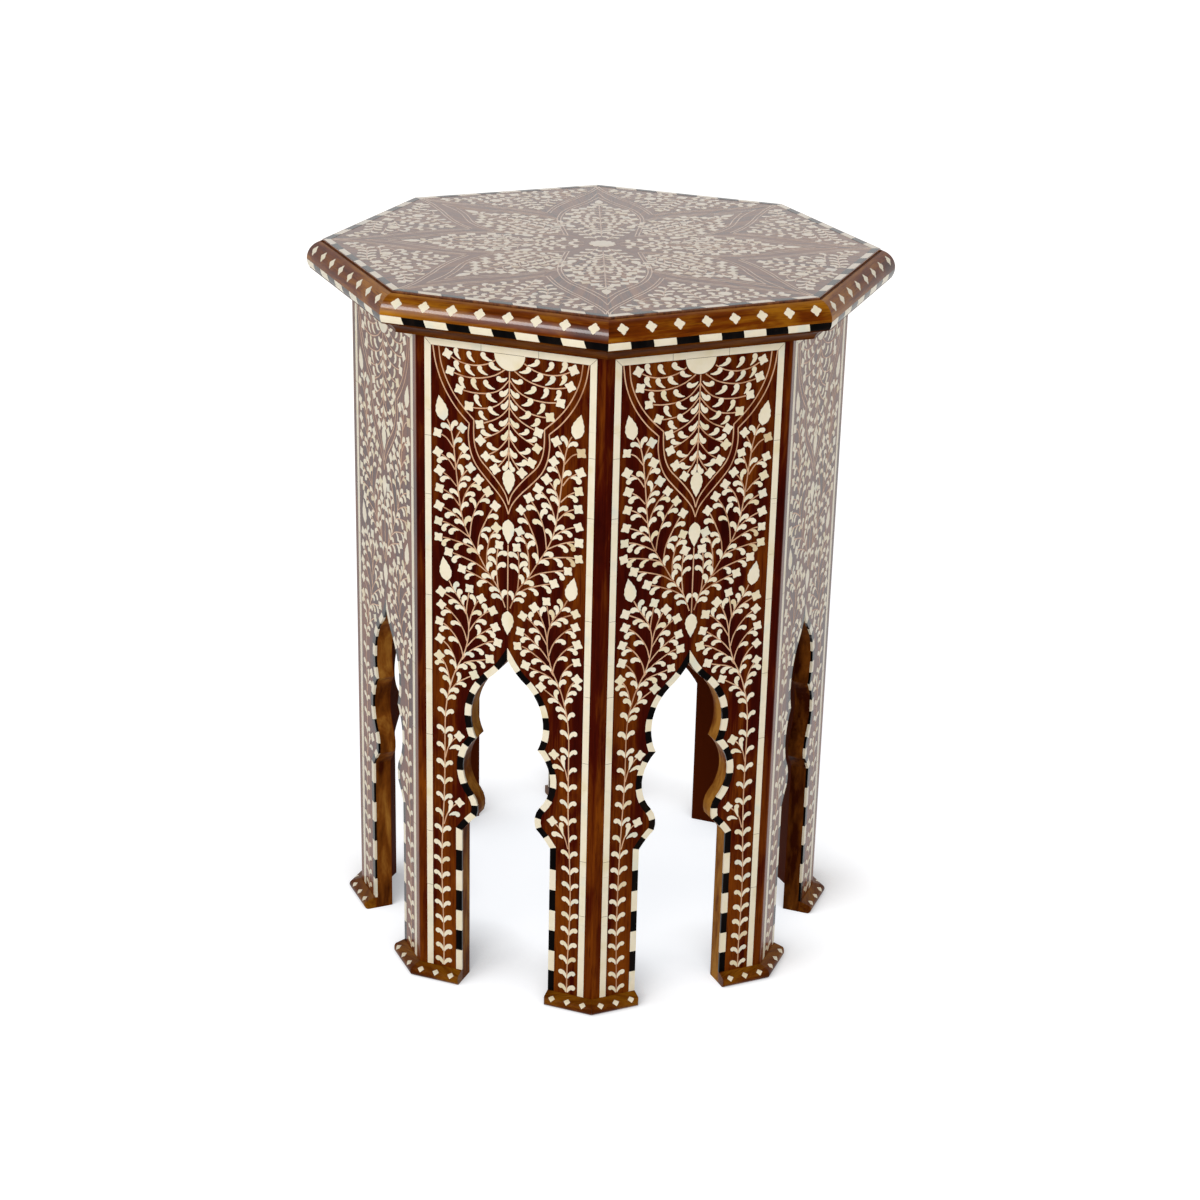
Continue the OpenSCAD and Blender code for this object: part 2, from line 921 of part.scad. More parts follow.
module block_plan() {
    tip = panel_in_a / cos(half_turn);
    back = tip - block_t;
    wing = polar(block_w, 90 - half_turn);
    polygon([
        [tip, 0], [tip - wing[0], wing[1]], [back, wing[1] / 2],
        [back, -wing[1] / 2], [tip - wing[0], -wing[1]]]);
}

module top_screws() {
    color(steel)
    for (k = [0 : sides - 1])
        top_screw_place(k)
        screw(batten_h + cove_h, top_screw_bite);
}

module batten_screws() {
    color(steel)
    for (k = [0 : sides - 1], side = [-1, 1])
        side_screw_place(k, side)
        screw(batten_t, side_screw_bite);
}

top_board();
top_border_bone();
top_border_ebony();
top_flowers();
top_buds();
edge_moulding(0);  // edge_moulding_1
edge_moulding(1);  // edge_moulding_2
edge_moulding(2);  // edge_moulding_3
edge_moulding(3);  // edge_moulding_4
edge_moulding(4);  // edge_moulding_5
edge_moulding(5);  // edge_moulding_6
edge_moulding(6);  // edge_moulding_7
edge_moulding(7);  // edge_moulding_8
edge_band_bone();
edge_band_ebony();
edge_quatrefoils();
cove_frame(0);  // cove_frame_1
cove_frame(1);  // cove_frame_2
cove_frame(2);  // cove_frame_3
cove_frame(3);  // cove_frame_4
cove_frame(4);  // cove_frame_5
cove_frame(5);  // cove_frame_6
cove_frame(6);  // cove_frame_7
cove_frame(7);  // cove_frame_8
side_panel(0);  // side_panel_1
side_panel(1);  // side_panel_2
side_panel(2);  // side_panel_3
side_panel(3);  // side_panel_4
side_panel(4);  // side_panel_5
side_panel(5);  // side_panel_6
side_panel(6);  // side_panel_7
side_panel(7);  // side_panel_8
panel_strips();
arch_band_bone();
arch_band_ebony();
panel_half_discs();
panel_buds();
foot_moulding(0);  // foot_moulding_1
foot_moulding(1);  // foot_moulding_2
foot_moulding(2);  // foot_moulding_3
foot_moulding(3);  // foot_moulding_4
foot_moulding(4);  // foot_moulding_5
foot_moulding(5);  // foot_moulding_6
foot_moulding(6);  // foot_moulding_7
foot_moulding(7);  // foot_moulding_8
foot_diamonds();
top_batten(0);  // top_batten_1
top_batten(1);  // top_batten_2
top_batten(2);  // top_batten_3
top_batten(3);  // top_batten_4
top_batten(4);  // top_batten_5
top_batten(5);  // top_batten_6
top_batten(6);  // top_batten_7
top_batten(7);  // top_batten_8
corner_blocks();
top_screws();
batten_screws();
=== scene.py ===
import cmath
import math
import random

import bpy
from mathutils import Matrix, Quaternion, Vector

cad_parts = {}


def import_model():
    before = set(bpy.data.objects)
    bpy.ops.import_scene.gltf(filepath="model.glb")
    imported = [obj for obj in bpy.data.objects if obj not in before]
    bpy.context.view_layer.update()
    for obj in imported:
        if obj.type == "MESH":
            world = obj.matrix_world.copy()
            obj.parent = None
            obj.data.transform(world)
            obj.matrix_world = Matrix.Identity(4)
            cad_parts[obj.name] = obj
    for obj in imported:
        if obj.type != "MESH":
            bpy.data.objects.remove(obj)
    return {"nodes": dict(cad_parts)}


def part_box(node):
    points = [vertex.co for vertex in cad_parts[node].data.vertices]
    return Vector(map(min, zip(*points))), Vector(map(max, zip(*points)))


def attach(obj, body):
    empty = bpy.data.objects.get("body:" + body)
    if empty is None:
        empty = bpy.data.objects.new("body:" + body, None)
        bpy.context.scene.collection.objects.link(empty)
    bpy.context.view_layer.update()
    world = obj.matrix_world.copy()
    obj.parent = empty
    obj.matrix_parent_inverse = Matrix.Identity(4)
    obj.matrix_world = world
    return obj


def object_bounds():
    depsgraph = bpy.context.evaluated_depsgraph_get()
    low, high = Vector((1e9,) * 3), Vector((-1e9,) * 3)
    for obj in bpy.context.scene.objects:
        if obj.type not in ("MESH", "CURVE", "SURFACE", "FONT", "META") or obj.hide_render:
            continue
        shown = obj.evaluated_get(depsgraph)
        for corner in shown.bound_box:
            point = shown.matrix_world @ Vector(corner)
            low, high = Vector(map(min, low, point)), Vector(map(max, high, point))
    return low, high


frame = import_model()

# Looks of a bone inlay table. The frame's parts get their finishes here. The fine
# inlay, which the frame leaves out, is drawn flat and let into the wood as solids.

CAD_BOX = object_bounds()

# Sizes that come from the frame, in metres
SIDES = 8
TURN = math.tau / SIDES
MM = 0.001
FACE_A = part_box("side_panel_1")[1].x
INNER_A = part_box("side_panel_1")[0].x
TOP_Z = CAD_BOX[1].z
BOARD_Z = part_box("top_board")[1].z

# Camera: bearings are anticlockwise from +X, seen from above
CAMERA_BEARING = math.radians(-113.95)
CAMERA_DISTANCE = 1.9486
CAMERA_HEIGHT = 1.0733
LOOK_BEARING = math.radians(65.9)
LOOK_DOWN = math.radians(21.89)
LOOK_ROLL = math.radians(1.364)
CAMERA_LENS, CAMERA_SENSOR = 71.4, 36


def placed(name, data):
    """A new object in the scene."""
    made = bpy.data.objects.new(name, data)
    bpy.context.scene.collection.objects.link(made)
    return made


def camera():
    """Camera at the place and angle of the photograph's."""
    data = bpy.data.cameras.new("camera")
    data.lens = CAMERA_LENS
    data.sensor_width = CAMERA_SENSOR
    made = placed("camera", data)
    made.location = (
        CAMERA_DISTANCE * math.cos(CAMERA_BEARING),
        CAMERA_DISTANCE * math.sin(CAMERA_BEARING),
        CAMERA_HEIGHT)
    made.rotation_mode = "QUATERNION"
    turn = Quaternion((0, 0, 1), LOOK_BEARING - math.pi / 2)
    tilt = Quaternion((1, 0, 0), math.pi / 2 - LOOK_DOWN)
    roll = Quaternion((0, 0, 1), LOOK_ROLL)
    made.rotation_quaternion = turn @ tilt @ roll
    bpy.context.scene.camera = made


# Shader trees

def srgb(*values):
    """Linear colour of an sRGB one, given in 0 to 255."""
    shares = [value / 255 for value in values]
    return (*[s / 12.92 if s <= 0.04045 else ((s + 0.055) / 1.055) ** 2.4 for s in shares], 1)


# Slant, as Layer Weight gives it, between which a polish goes from weak to full
POLISH_SLANT = 0.28, 0.6
# Colour sockets of a Mix node
COLOUR_A, COLOUR_B, COLOUR_RESULT = 6, 7, 2


class Tree:
    """A node tree. A value given to a call is a number, a colour or a node's output."""

    def __init__(self, owner):
        owner.use_nodes = True
        self.tree = owner.node_tree
        self.tree.nodes.clear()

    def node(self, kind, inputs=None, **settings):
        """A new node with these settings, and these values on its inputs."""
        made = self.tree.nodes.new(kind)
        for name, value in settings.items():
            setattr(made, name, value)
        for key, value in (inputs or {}).items():
            if isinstance(value, bpy.types.NodeSocket):
                self.tree.links.new(value, made.inputs[key])
            else:
                made.inputs[key].default_value = value
        return made

    def math(self, operation, a, b=0.0, clamp=False):
        values = {0: a, 1: b}
        made = self.node("ShaderNodeMath", values, operation=operation, use_clamp=clamp)
        return made.outputs[0]

    def length(self, vector):
        made = self.node("ShaderNodeVectorMath", {0: vector}, operation="LENGTH")
        return made.outputs["Value"]

    def axes(self, vector):
        return tuple(self.node("ShaderNodeSeparateXYZ", {0: vector}).outputs)

    def vector(self, x, y, z):
        return self.node("ShaderNodeCombineXYZ", {"X": x, "Y": y, "Z": z}).outputs[0]

    def noise(self, coords, scale, detail=4.0, roughness=0.55, distortion=0.0):
        return self.node("ShaderNodeTexNoise", {
            "Vector": coords, "Scale": scale, "Detail": detail, "Roughness": roughness,
            "Distortion": distortion}).outputs["Fac"]

    def stretch(self, coords, scale):
        """Coordinates with a scale of its own along each axis."""
        values = {"Vector": coords, "Scale": scale}
        return self.node("ShaderNodeMapping", values).outputs["Vector"]

    def ramp(self, factor, *stops):
        """Colour at a factor. A stop is a place and a colour."""
        made = self.node("ShaderNodeValToRGB", {"Fac": factor})
        elements = made.color_ramp.elements
        while len(elements) < len(stops):
            elements.new(0.5)
        for element, (place, colour) in zip(elements, stops):
            element.position = place
            element.color = colour
        return made.outputs["Color"]

    def spread(self, value, low, high, to_low=0.0, to_high=1.0):
        """The value moved from one range to another, and held at its ends."""
        return self.node("ShaderNodeMapRange", {
            "Value": value, "From Min": low, "From Max": high, "To Min": to_low,
            "To Max": to_high}, clamp=True).outputs["Result"]

    def mix(self, factor, a, b):
        values = {"Factor": factor, COLOUR_A: a, COLOUR_B: b}
        made = self.node("ShaderNodeMix", values, data_type="RGBA")
        return made.outputs[COLOUR_RESULT]

    def bump(self, height, strength, distance):
        return self.node("ShaderNodeBump", {
            "Height": height, "Strength": strength, "Distance": distance}).outputs["Normal"]

    def polish(self, straight, slanted):
        """Weight of a coat, seen straight on and at a slant."""
        slant = self.node("ShaderNodeLayerWeight").outputs["Facing"]
        return self.spread(slant, *POLISH_SLANT, straight, slanted)

    def finish(self, colour, roughness, normal, polish=None, **uniform):
        """Principled surface: uniform values go straight onto the shader's sockets."""
        values = {name.replace("_", " "): value for name, value in uniform.items()}
        values.update({"Base Color": colour, "Roughness": roughness, "Normal": normal})
        if polish is not None:
            values["Coat Weight"] = polish
        self.surface(self.node("ShaderNodeBsdfPrincipled", values))

    def surface(self, shader, kind="ShaderNodeOutputMaterial"):
        self.node(kind, {"Surface": shader.outputs[0]})


def material(name):
    """A new material and its node tree."""
    made = bpy.data.materials.new(name)
    return made, Tree(made)


# Backdrop, floor and light

AMBIENT = 0.3
WHITE = (1, 1, 1, 1)
FLOOR_REACH = 40.0
FLOOR_GREY = (0.8, 0.8, 0.8, 1)
# What the camera sees of the floor: a warm grey that shadows take away, on a cool glow
FLOOR_SEEN = (0.48, 0.43, 0.38, 1)
GLOW_NEAR = (0.83, 0.86, 0.9, 1)
# Distances from the middle of the table between which the glow turns white
WHITE_FROM, WHITE_TO = 0.5, 1.8
# Where the light of the shadows beside the feet comes from, how far they reach, how
# much of the glow they leave, and which shares of open light are full shadow and none
SHADOW_BEARING, SHADOW_ELEVATION = math.radians(-138), math.radians(25)
SHADOW_REACH = 0.09
SHADOW_SAMPLES = 12
SHADOW_LEAVES = 0.4
SHADOW_FULL, SHADOW_NONE = 0.55, 0.95


def seen(tree):
    """1 for the rays of the camera and for those that mirrors and glass send on."""
    path = tree.node("ShaderNodeLightPath")
    either = tree.math("ADD", path.outputs["Is Camera Ray"], path.outputs["Is Glossy Ray"])
    return tree.math("ADD", either, path.outputs["Is Transmission Ray"], clamp=True)


def world():
    """Plain grey light, that is seen as white."""
    made = bpy.data.worlds.new("studio")
    bpy.context.scene.world = made
    tree = Tree(made)
    strength = tree.spread(seen(tree), 0, 1, AMBIENT, 1.0)
    background = tree.node("ShaderNodeBackground", {"Color": WHITE, "Strength": strength})
    tree.surface(background, "ShaderNodeOutputWorld")


def bearing(turn, tilt):
    """Direction at a bearing and an elevation."""
    level = math.cos(tilt)
    return Vector((level * math.cos(turn), level * math.sin(turn), math.sin(tilt)))


def floor_shade(tree):
    """Share of the floor's glow that the shadows beside the feet leave."""
    towards = tree.vector(*bearing(SHADOW_BEARING, SHADOW_ELEVATION))
    values = {"Distance": SHADOW_REACH, "Normal": towards}
    near = tree.node("ShaderNodeAmbientOcclusion", values, samples=SHADOW_SAMPLES)
    return tree.spread(near.outputs["AO"], SHADOW_FULL, SHADOW_NONE, SHADOW_LEAVES, 1)


def floor_glow(tree):
    """Colour of the floor's glow: cool near the table, and white away from it."""
    away = tree.length(tree.node("ShaderNodeNewGeometry").outputs["Position"])
    return tree.mix(tree.spread(away, WHITE_FROM, WHITE_TO), GLOW_NEAR, WHITE)


def pale_floor():
    """Floor that keeps a light shadow, and runs into white away from the table."""
    made, tree = material("pale_floor")
    looked_at = seen(tree)
    colour = tree.mix(looked_at, FLOOR_GREY, FLOOR_SEEN)
    diffuse = tree.node("ShaderNodeBsdfDiffuse", {"Color": colour})
    glow = tree.node("ShaderNodeEmission", {
        "Color": floor_glow(tree),
        "Strength": tree.math("MULTIPLY", looked_at, floor_shade(tree))})
    both = tree.node("ShaderNodeAddShader", {0: diffuse.outputs[0], 1: glow.outputs[0]})
    tree.surface(both)
    return made


def floor():
    r = FLOOR_REACH
    mesh = bpy.data.meshes.new("floor")
    mesh.from_pydata([(-r, -r, 0), (r, -r, 0), (r, r, 0), (-r, r, 0)], [], [(0, 1, 2, 3)])
    mesh.materials.append(pale_floor())
    plane = placed("floor", mesh)


# Each lamp: its name, bearing and elevation in degrees, distance, size and power
LAMPS = (
    ("key", -126, 17, 3.0, (1.8, 1.4), 42.5),
    ("window", -160, 32, 2.4, (0.65, 0.6), 6),
    ("fill", -25, 18, 2.6, (1.0, 1.4), 9),
    ("over", 66, 80, 2.6, (1.6, 1.6), 10))


def lamp(name, turn, tilt, reach, size, power):
    """Soft lamp that faces the middle of the table. Its size is its width and height."""
    data = bpy.data.lights.new(name, "AREA")
    data.shape = "RECTANGLE"
    data.size, data.size_y = size
    data.energy = power
    made = placed(name, data)
    aim = bearing(math.radians(turn), math.radians(tilt))
    made.location = Vector((0, 0, TOP_Z / 2)) + reach * aim
    made.rotation_mode = "QUATERNION"
    made.rotation_quaternion = (-aim).to_track_quat("-Z", "Y")


# Materials

# Coats: of the polished wood and inlay, of a glossier band on one moulding's nose placed for a
# highlight streak, and of the lacquered top
GLOSS = dict(Specular_IOR_Level=0.01, Coat_IOR=1.5)
HIGHLIGHT_GLOSS = dict(GLOSS, Coat_IOR=1.7)
LACQUER = dict(Specular_IOR_Level=0.02, Coat_IOR=1.36, Coat_Weight=0.92, Coat_Roughness=0.18)
# Weights of a polish, seen straight on and seen at a slant
FACE_POLISH = 0.01, 0.6
MOULDING_POLISH = 0.02, 0.32
COVE_POLISH = 0.005, 0.2
FOOT_POLISH = 0.03, 0.3
# Roughness under lacquer, under the inlay's polish, and of that polish on bone and wood
UNDER_LACQUER, UNDER_POLISH = 0.35, 0.36
BONE_COAT, WOOD_COAT = 0.14, 0.16


def object_coords(tree):
    return tree.node("ShaderNodeTexCoord").outputs["Object"]


def face_coords(tree, turns):
    """Object coordinates turned so that x points out of face number turns."""
    values = {"Vector": object_coords(tree), "Angle": -turns * TURN}
    return tree.node("ShaderNodeVectorRotate", values, rotation_type="Z_AXIS").outputs["Vector"]


# Scales of the figure, the lines and the pores of wood, across and along its grain
FIGURE_SCALE = 42, 9
LINE_SCALE = 190, 6
PORE_SCALE = 1100, 60
# Shares of figure and lines in the colour, and where along their blend each tone lies
FIGURE_SHARE, LINE_SHARE = 0.68, 0.32
GRAIN_STOPS = 0.38, 0.50, 0.66
# Values of the pores' noise between which they darken the wood, and by how much
PORE_FROM, PORE_TO, PORE_DEPTH = 0.56, 0.7, 0.5


def grain(tree, coords, along, tones, shift=0.0):
    """Wood colour and pores. along is the axis that the grain follows, tones are the
    dark, the body and the streak, and shift moves the colour towards the streak."""
    def noise(scales, *look):
        across, lengthwise = scales
        scale = [lengthwise if axis == along else across for axis in "xyz"]
        return tree.noise(tree.stretch(coords, scale), 1.0, *look)

    figure = noise(FIGURE_SCALE, 5, 0.62, 0.5)
    lines = noise(LINE_SCALE, 4, 0.7, 0.2)
    pores = noise(PORE_SCALE, 2, 0.5)
    blend = tree.math("ADD", tree.math("MULTIPLY", figure, FIGURE_SHARE),
                      tree.math("MULTIPLY", lines, LINE_SHARE))
    colour = tree.ramp(tree.math("ADD", blend, shift), *zip(GRAIN_STOPS, tones))
    depth = tree.spread(pores, PORE_FROM, PORE_TO, 0, PORE_DEPTH)
    return tree.mix(depth, colour, tones[0]), pores


PANEL_TONES = srgb(42, 3, 1), srgb(66, 11, 1), srgb(118, 56, 7)
PANEL_SHIFT = -0.025
# Heights between which the panels turn amber towards legs and head, and how much
AMBER_LEGS_Z = 0.36, 0.12
AMBER_HEAD_Z = 0.5, 0.56
AMBER_LEGS, AMBER_HEAD = 0.082, 0.05
# How much more amber the wood of each panel is: wood tone, and painted sheen on the slanted panels 5
# and 8 in place of their pale veil of reflection
PANEL_AMBER_AND_SHEEN = (0.02, 0.01, 0.03, 0.02, 0.07, 0.01, 0.01, 0.07)
# Distances from the face and from the inner side over which the cut wood begins
FACE_BAND = 1.6 * MM, 0.4 * MM
INSIDE_BAND = 0.8 * MM, 0.2 * MM

CUT_TONES = srgb(58, 18, 3), srgb(122, 66, 18), srgb(178, 122, 50)
CUT_STOPS = 0.32, 0.43, 0.54
CUT_SCALE = 85, 85, 20
CUT_SHARE, CUT_SHIFT = 0.5, 0.17
# How much darker the cut wood of each panel is, or paler where that is below 0: wood tone on panels 1
# to 5, and painted light and shade on panels 6 to 8, paler on 6 and 7 as if lit, darker on 8 as in
# the shadow behind a leg
CUT_TONE_AND_PAINTED_LIGHT = (0.04, 0.02, 0.05, 0.03, 0.01, -0.03, -0.08, 0.06)
INSIDE_BODY = srgb(92, 34, 7)


def cut_wood(tree, coords, turns):
    """Colour of the wood on the cut edges of an arch, with painted light and shade on some panels."""
    burr = tree.noise(tree.stretch(coords, CUT_SCALE), 1.0, 4, 0.6, 0.3)
    # The per-panel shift holds painted light and shade on panels 6 to 8
    shift = CUT_SHIFT - CUT_TONE_AND_PAINTED_LIGHT[turns]
    burr = tree.math("ADD", tree.math("MULTIPLY", burr, CUT_SHARE), shift)
    return tree.ramp(burr, *zip(CUT_STOPS, CUT_TONES))


def panel_wood(turns):
    """Polished face, amber towards legs and head, with plainer cut edges and inside."""
    made, tree = material(f"panel_wood_{turns + 1}")
    coords = face_coords(tree, turns)
    outward, _, height = tree.axes(coords)
    legs = tree.spread(height, *AMBER_LEGS_Z, PANEL_SHIFT, AMBER_LEGS)
    head = tree.spread(height, *AMBER_HEAD_Z, 0, AMBER_HEAD)
    # The shift of each panel is wood tone, with painted sheen on the slanted panels 5 and 8
    amber = tree.math("ADD", tree.math("ADD", legs, head), PANEL_AMBER_AND_SHEEN[turns])
    colour, pores = grain(tree, coords, "z", PANEL_TONES, amber)
    face = tree.spread(outward, *[FACE_A - depth for depth in FACE_BAND])
    inner = tree.spread(outward, *[INNER_A + depth for depth in INSIDE_BAND])
    behind = tree.mix(inner, cut_wood(tree, coords, turns), INSIDE_BODY)
    tree.finish(
        tree.mix(face, behind, colour), 0.34, tree.bump(pores, 0.12, 0.0004),
        tree.math("MULTIPLY", tree.polish(*FACE_POLISH), face), Coat_Roughness=0.16, **GLOSS)
    return made


TOP_TONES = srgb(64, 28, 10), srgb(106, 56, 24), srgb(142, 88, 44)
# Bearing of the bands of the star from the line to their corner
BAND_LEAN = math.radians(21)


def top_wood():
    """Veneer whose grain follows the bands of the star, both ways from each corner's line."""
    made, tree = material("top_wood")
    x, y, _ = tree.axes(object_coords(tree))
    around, reach = tree.math("ARCTAN2", y, x), tree.length(object_coords(tree))
    in_sector = tree.math("SUBTRACT", tree.math("FLOORED_MODULO", around, TURN), TURN / 2)
    lean = tree.math("SUBTRACT", BAND_LEAN, tree.math("ABSOLUTE", in_sector))
    veneer = tree.vector(
        tree.math("MULTIPLY", reach, tree.math("SINE", lean)),
        tree.math("MULTIPLY", reach, tree.math("COSINE", lean)),
        tree.math("FLOOR", tree.math("DIVIDE", around, TURN / 2)))
    colour, pores = grain(tree, veneer, "y", TOP_TONES)
    tree.finish(colour, UNDER_LACQUER, tree.bump(pores, 0.08, 0.0003), **LACQUER)
    return made


MOULDING_TONES = srgb(58, 16, 1), srgb(106, 46, 3), srgb(176, 114, 22)
COVE_TONES = srgb(40, 14, 1), srgb(82, 38, 4), srgb(120, 70, 12)
FOOT_TONES = srgb(48, 14, 1), srgb(96, 44, 3), srgb(146, 92, 16)
# Distances from a side's middle over which the edge moulding turns golden, and how much
GOLD_FROM, GOLD_TO, GOLD = 0.0, 0.09, 0.1
# The side whose edge moulding gets a glossier band along its nose, placed to show a highlight streak,
# and where that band begins and ends
HIGHLIGHT_SIDE = 5
HIGHLIGHT_LOW_EDGE = TOP_Z - 15.5 * MM, TOP_Z - 12.5 * MM
HIGHLIGHT_HIGH_EDGE = TOP_Z - 8.5 * MM, TOP_Z - 6.5 * MM


def moulding_wood(name, turns, tones, polish, gold=0.0, highlight_band=False):
    """Wood with its grain along a side, more golden towards the left or right end by turns, and on
    one side a glossier band placed for a highlight streak.
    """
    made, tree = material(name)
    coords = face_coords(tree, turns)
    _, along, height = tree.axes(coords)
    along = tree.math("MULTIPLY", along, -1 if turns % 2 == 1 else 1)
    golden = tree.spread(along, GOLD_FROM, GOLD_TO, 0, gold)
    colour, pores = grain(tree, coords, "y", tones, golden)
    weight, gloss = tree.polish(*polish), GLOSS
    # Glossier band along the nose, placed to show the window lamp as a highlight streak
    if highlight_band:
        low, high = tree.spread(height, *HIGHLIGHT_LOW_EDGE), tree.spread(height, *HIGHLIGHT_HIGH_EDGE, 1, 0)
        weight = tree.math("MAXIMUM", weight, tree.math("MULTIPLY", low, high))
        gloss = HIGHLIGHT_GLOSS
    tree.finish(
        colour, 0.3, tree.bump(pores, 0.1, 0.0003), weight, Coat_Roughness=0.13, **gloss)
    return made


INNER_TONES = srgb(70, 40, 18), srgb(110, 68, 32), srgb(140, 94, 50)


def inner_wood():
    """Plain unpolished wood of the battens and blocks."""
    made, tree = material("inner_wood")
    colour, pores = grain(tree, object_coords(tree), "z", INNER_TONES)
    tree.finish(colour, 0.6, tree.bump(pores, 0.3, 0.0004), Specular_IOR_Level=0.2)
    return made


def finish_inlay(tree, colour, normal, lacquered, coat):
    """Lacquer on the inlay of the top, and the polish of the faces on the rest."""
    if lacquered:
        tree.finish(colour, UNDER_LACQUER, normal, **LACQUER)
    else:
        polish = tree.polish(*FACE_POLISH)
        tree.finish(colour, UNDER_POLISH, normal, polish, Coat_Roughness=coat, **GLOSS)


BONE_BODY = srgb(242, 231, 206)
BONE_CREAM = srgb(234, 220, 184)
BONE_TAN = srgb(216, 192, 150)
BONE_GREY = srgb(226, 224, 206)
# Tones of small pieces, one for each, and of long ones, where the tone changes slowly
SMALL_TONES = (
    (0.0, BONE_TAN), (0.015, BONE_TAN), (0.03, BONE_CREAM), (0.25, BONE_BODY),
    (0.9, BONE_BODY), (0.95, BONE_GREY), (1.0, BONE_CREAM))
LONG_TONES = (0.25, BONE_CREAM), (0.4, BONE_BODY), (0.6, BONE_BODY), (0.75, BONE_GREY)
LONG_TONE_SCALE = 55
PIT_SCALE = 2400, 2400, 500
TOP_BONE_TINT, TOP_BONE_TINTED = srgb(228, 204, 204), 0.25


def bone(name, small, lacquered=False):
    """Polished bone, a little cloudy, with fine pits."""
    made, tree = material(name)
    coords = object_coords(tree)
    if small:
        island = tree.node("ShaderNodeNewGeometry").outputs["Random Per Island"]
        tone = tree.ramp(island, *SMALL_TONES)
    else:
        tone = tree.ramp(tree.noise(coords, LONG_TONE_SCALE, 1), *LONG_TONES)
    cloud = tree.noise(coords, 90, 4, 0.6)
    pits = tree.noise(tree.stretch(coords, PIT_SCALE), 1.0, 2)
    colour = tree.mix(tree.spread(cloud, 0.42, 0.72, 0, 0.5), tone, BONE_CREAM)
    colour = tree.mix(tree.spread(pits, 0.62, 0.75, 0, 0.35), colour, BONE_TAN)
    if lacquered:
        colour = tree.mix(TOP_BONE_TINTED, colour, TOP_BONE_TINT)
    finish_inlay(tree, colour, tree.bump(pits, 0.06, 0.0002), lacquered, BONE_COAT)
    return made


# Light wood of stems and strings, and ebony: tones, strength and depth of the pores
STRING_WOOD = (srgb(176, 128, 94), srgb(214, 170, 134), srgb(228, 192, 158)), 0.1, 0.0002
TOP_STRING_WOOD = (srgb(182, 146, 120), srgb(214, 184, 158), srgb(230, 206, 184)), 0.1, 0.0002
EBONY = (srgb(4, 3, 3), srgb(9, 7, 7), srgb(24, 16, 12)), 0.08, 0.0003


def inlay_wood(name, tones, strength, depth, lacquered=False):
    made, tree = material(name)
    colour, pores = grain(tree, object_coords(tree), "z", tones)
    finish_inlay(tree, colour, tree.bump(pores, strength, depth), lacquered, WOOD_COAT)
    return made


GLUE_TONES = (0.3, srgb(84, 60, 36)), (0.7, srgb(150, 126, 92))
STEEL_TONES = (0.3, srgb(110, 106, 100)), (0.7, srgb(172, 170, 166))


def glue():
    """Old glue, dull and uneven."""
    made, tree = material("glue")
    dull = tree.noise(object_coords(tree), 1500, 3)
    normal = tree.bump(dull, 0.1, 0.0001)
    tree.finish(tree.ramp(dull, *GLUE_TONES), 0.6, normal, Specular_IOR_Level=0.1)
    return made


def steel():
    """Screws, with dull patches."""
    made, tree = material("steel")
    dull = tree.noise(object_coords(tree), 900, 3)
    tree.finish(
        tree.ramp(dull, *STEEL_TONES), tree.spread(dull, 0, 1, 0.3, 0.55),
        tree.bump(dull, 0.1, 0.0002), Metallic=1.0)
    return made


def dress_cad_nodes(bones, top_bones):
    """Gives every piece of the frame its finish."""
    black, top_black = inlay_wood("ebony", *EBONY), inlay_wood("top_ebony", *EBONY, True)
    plain = inner_wood()
    shared = (
        (top_wood(), "top_board"), (plain, "corner_blocks"), (top_black, "top_border_ebony"),
        (black, "edge_band_ebony arch_band_ebony"), (steel(), "top_screws batten_screws"),
        (top_bones, "top_border_bone top_flowers top_buds"),
        (bones, "edge_band_bone arch_band_bone edge_quatrefoils foot_diamonds"),
        (bones, "panel_strips panel_half_discs panel_buds"))
    finishes = {name: made for made, names in shared for name in names.split()}
    for k in range(SIDES):
        n = k + 1
        for part, wood, turns, *look in (
                ("edge_moulding", "edge_wood", k, MOULDING_TONES, MOULDING_POLISH, GOLD,
                 k == HIGHLIGHT_SIDE),
                ("cove_frame", "cove_wood", k, COVE_TONES, COVE_POLISH),
                ("foot_moulding", "foot_wood", k + 0.5, FOOT_TONES, FOOT_POLISH)):
            finishes[f"{part}_{n}"] = moulding_wood(f"{wood}_{n}", turns, *look)
        finishes[f"side_panel_{n}"] = panel_wood(k)
        finishes[f"top_batten_{n}"] = plain
    for name, made in finishes.items():
        mesh = frame["nodes"][name].data
        mesh.materials.clear()
        mesh.materials.append(made)


# Flat drawing. A point of a pattern is a complex number, in millimetres: its real
# part runs across and its imaginary part up the panel, or outwards on the top.

# A leaf: radius of its head, length, angle to the stem in degrees, share where it bends
LEAF_HEAD_R, LEAF_REACH, LEAF_SPREAD, LEAF_BEND = 2.3, 7.2, 42, 0.5
# How strongly a listed leaf turns from its branch to its head
HAND_LEAF_RISE = 0.9
# How far beside its stem a leaf starts, in stem widths, and how far along it at most
LEAF_START, LAST_SHARE = 0.8, 0.97
# Shares of head and tail in the place of a leaf's neck, and its radius
NECK_HEAD, NECK_TAIL, NECK_R = 0.55, 0.45, LEAF_HEAD_R * 0.55
STEM_W, FLOWER_R = 1.0, 4.9
# Room of a flower, and how far from its middle its stem ends, in flower radii
FLOWER_ROOM, FLOWER_STEM = 0.84, 0.7
# Least gap between two pieces, and between a leaf's head and its own stem
CLEAR, OWN_CLEAR = 0.3, 0.1
CURVE_STEPS = 3


def unit(v):
    return v / abs(v)


def turned(degrees):
    """Factor that turns a point anticlockwise."""
    return cmath.exp(1j * math.radians(degrees))


def down(*points):
    """Points given across and down from the top surface."""
    return [complex(u, -d) for u, d in points]


def out(*points):
    """Points given across and outwards from the middle of the top."""
    return [complex(u, r) for u, r in points]


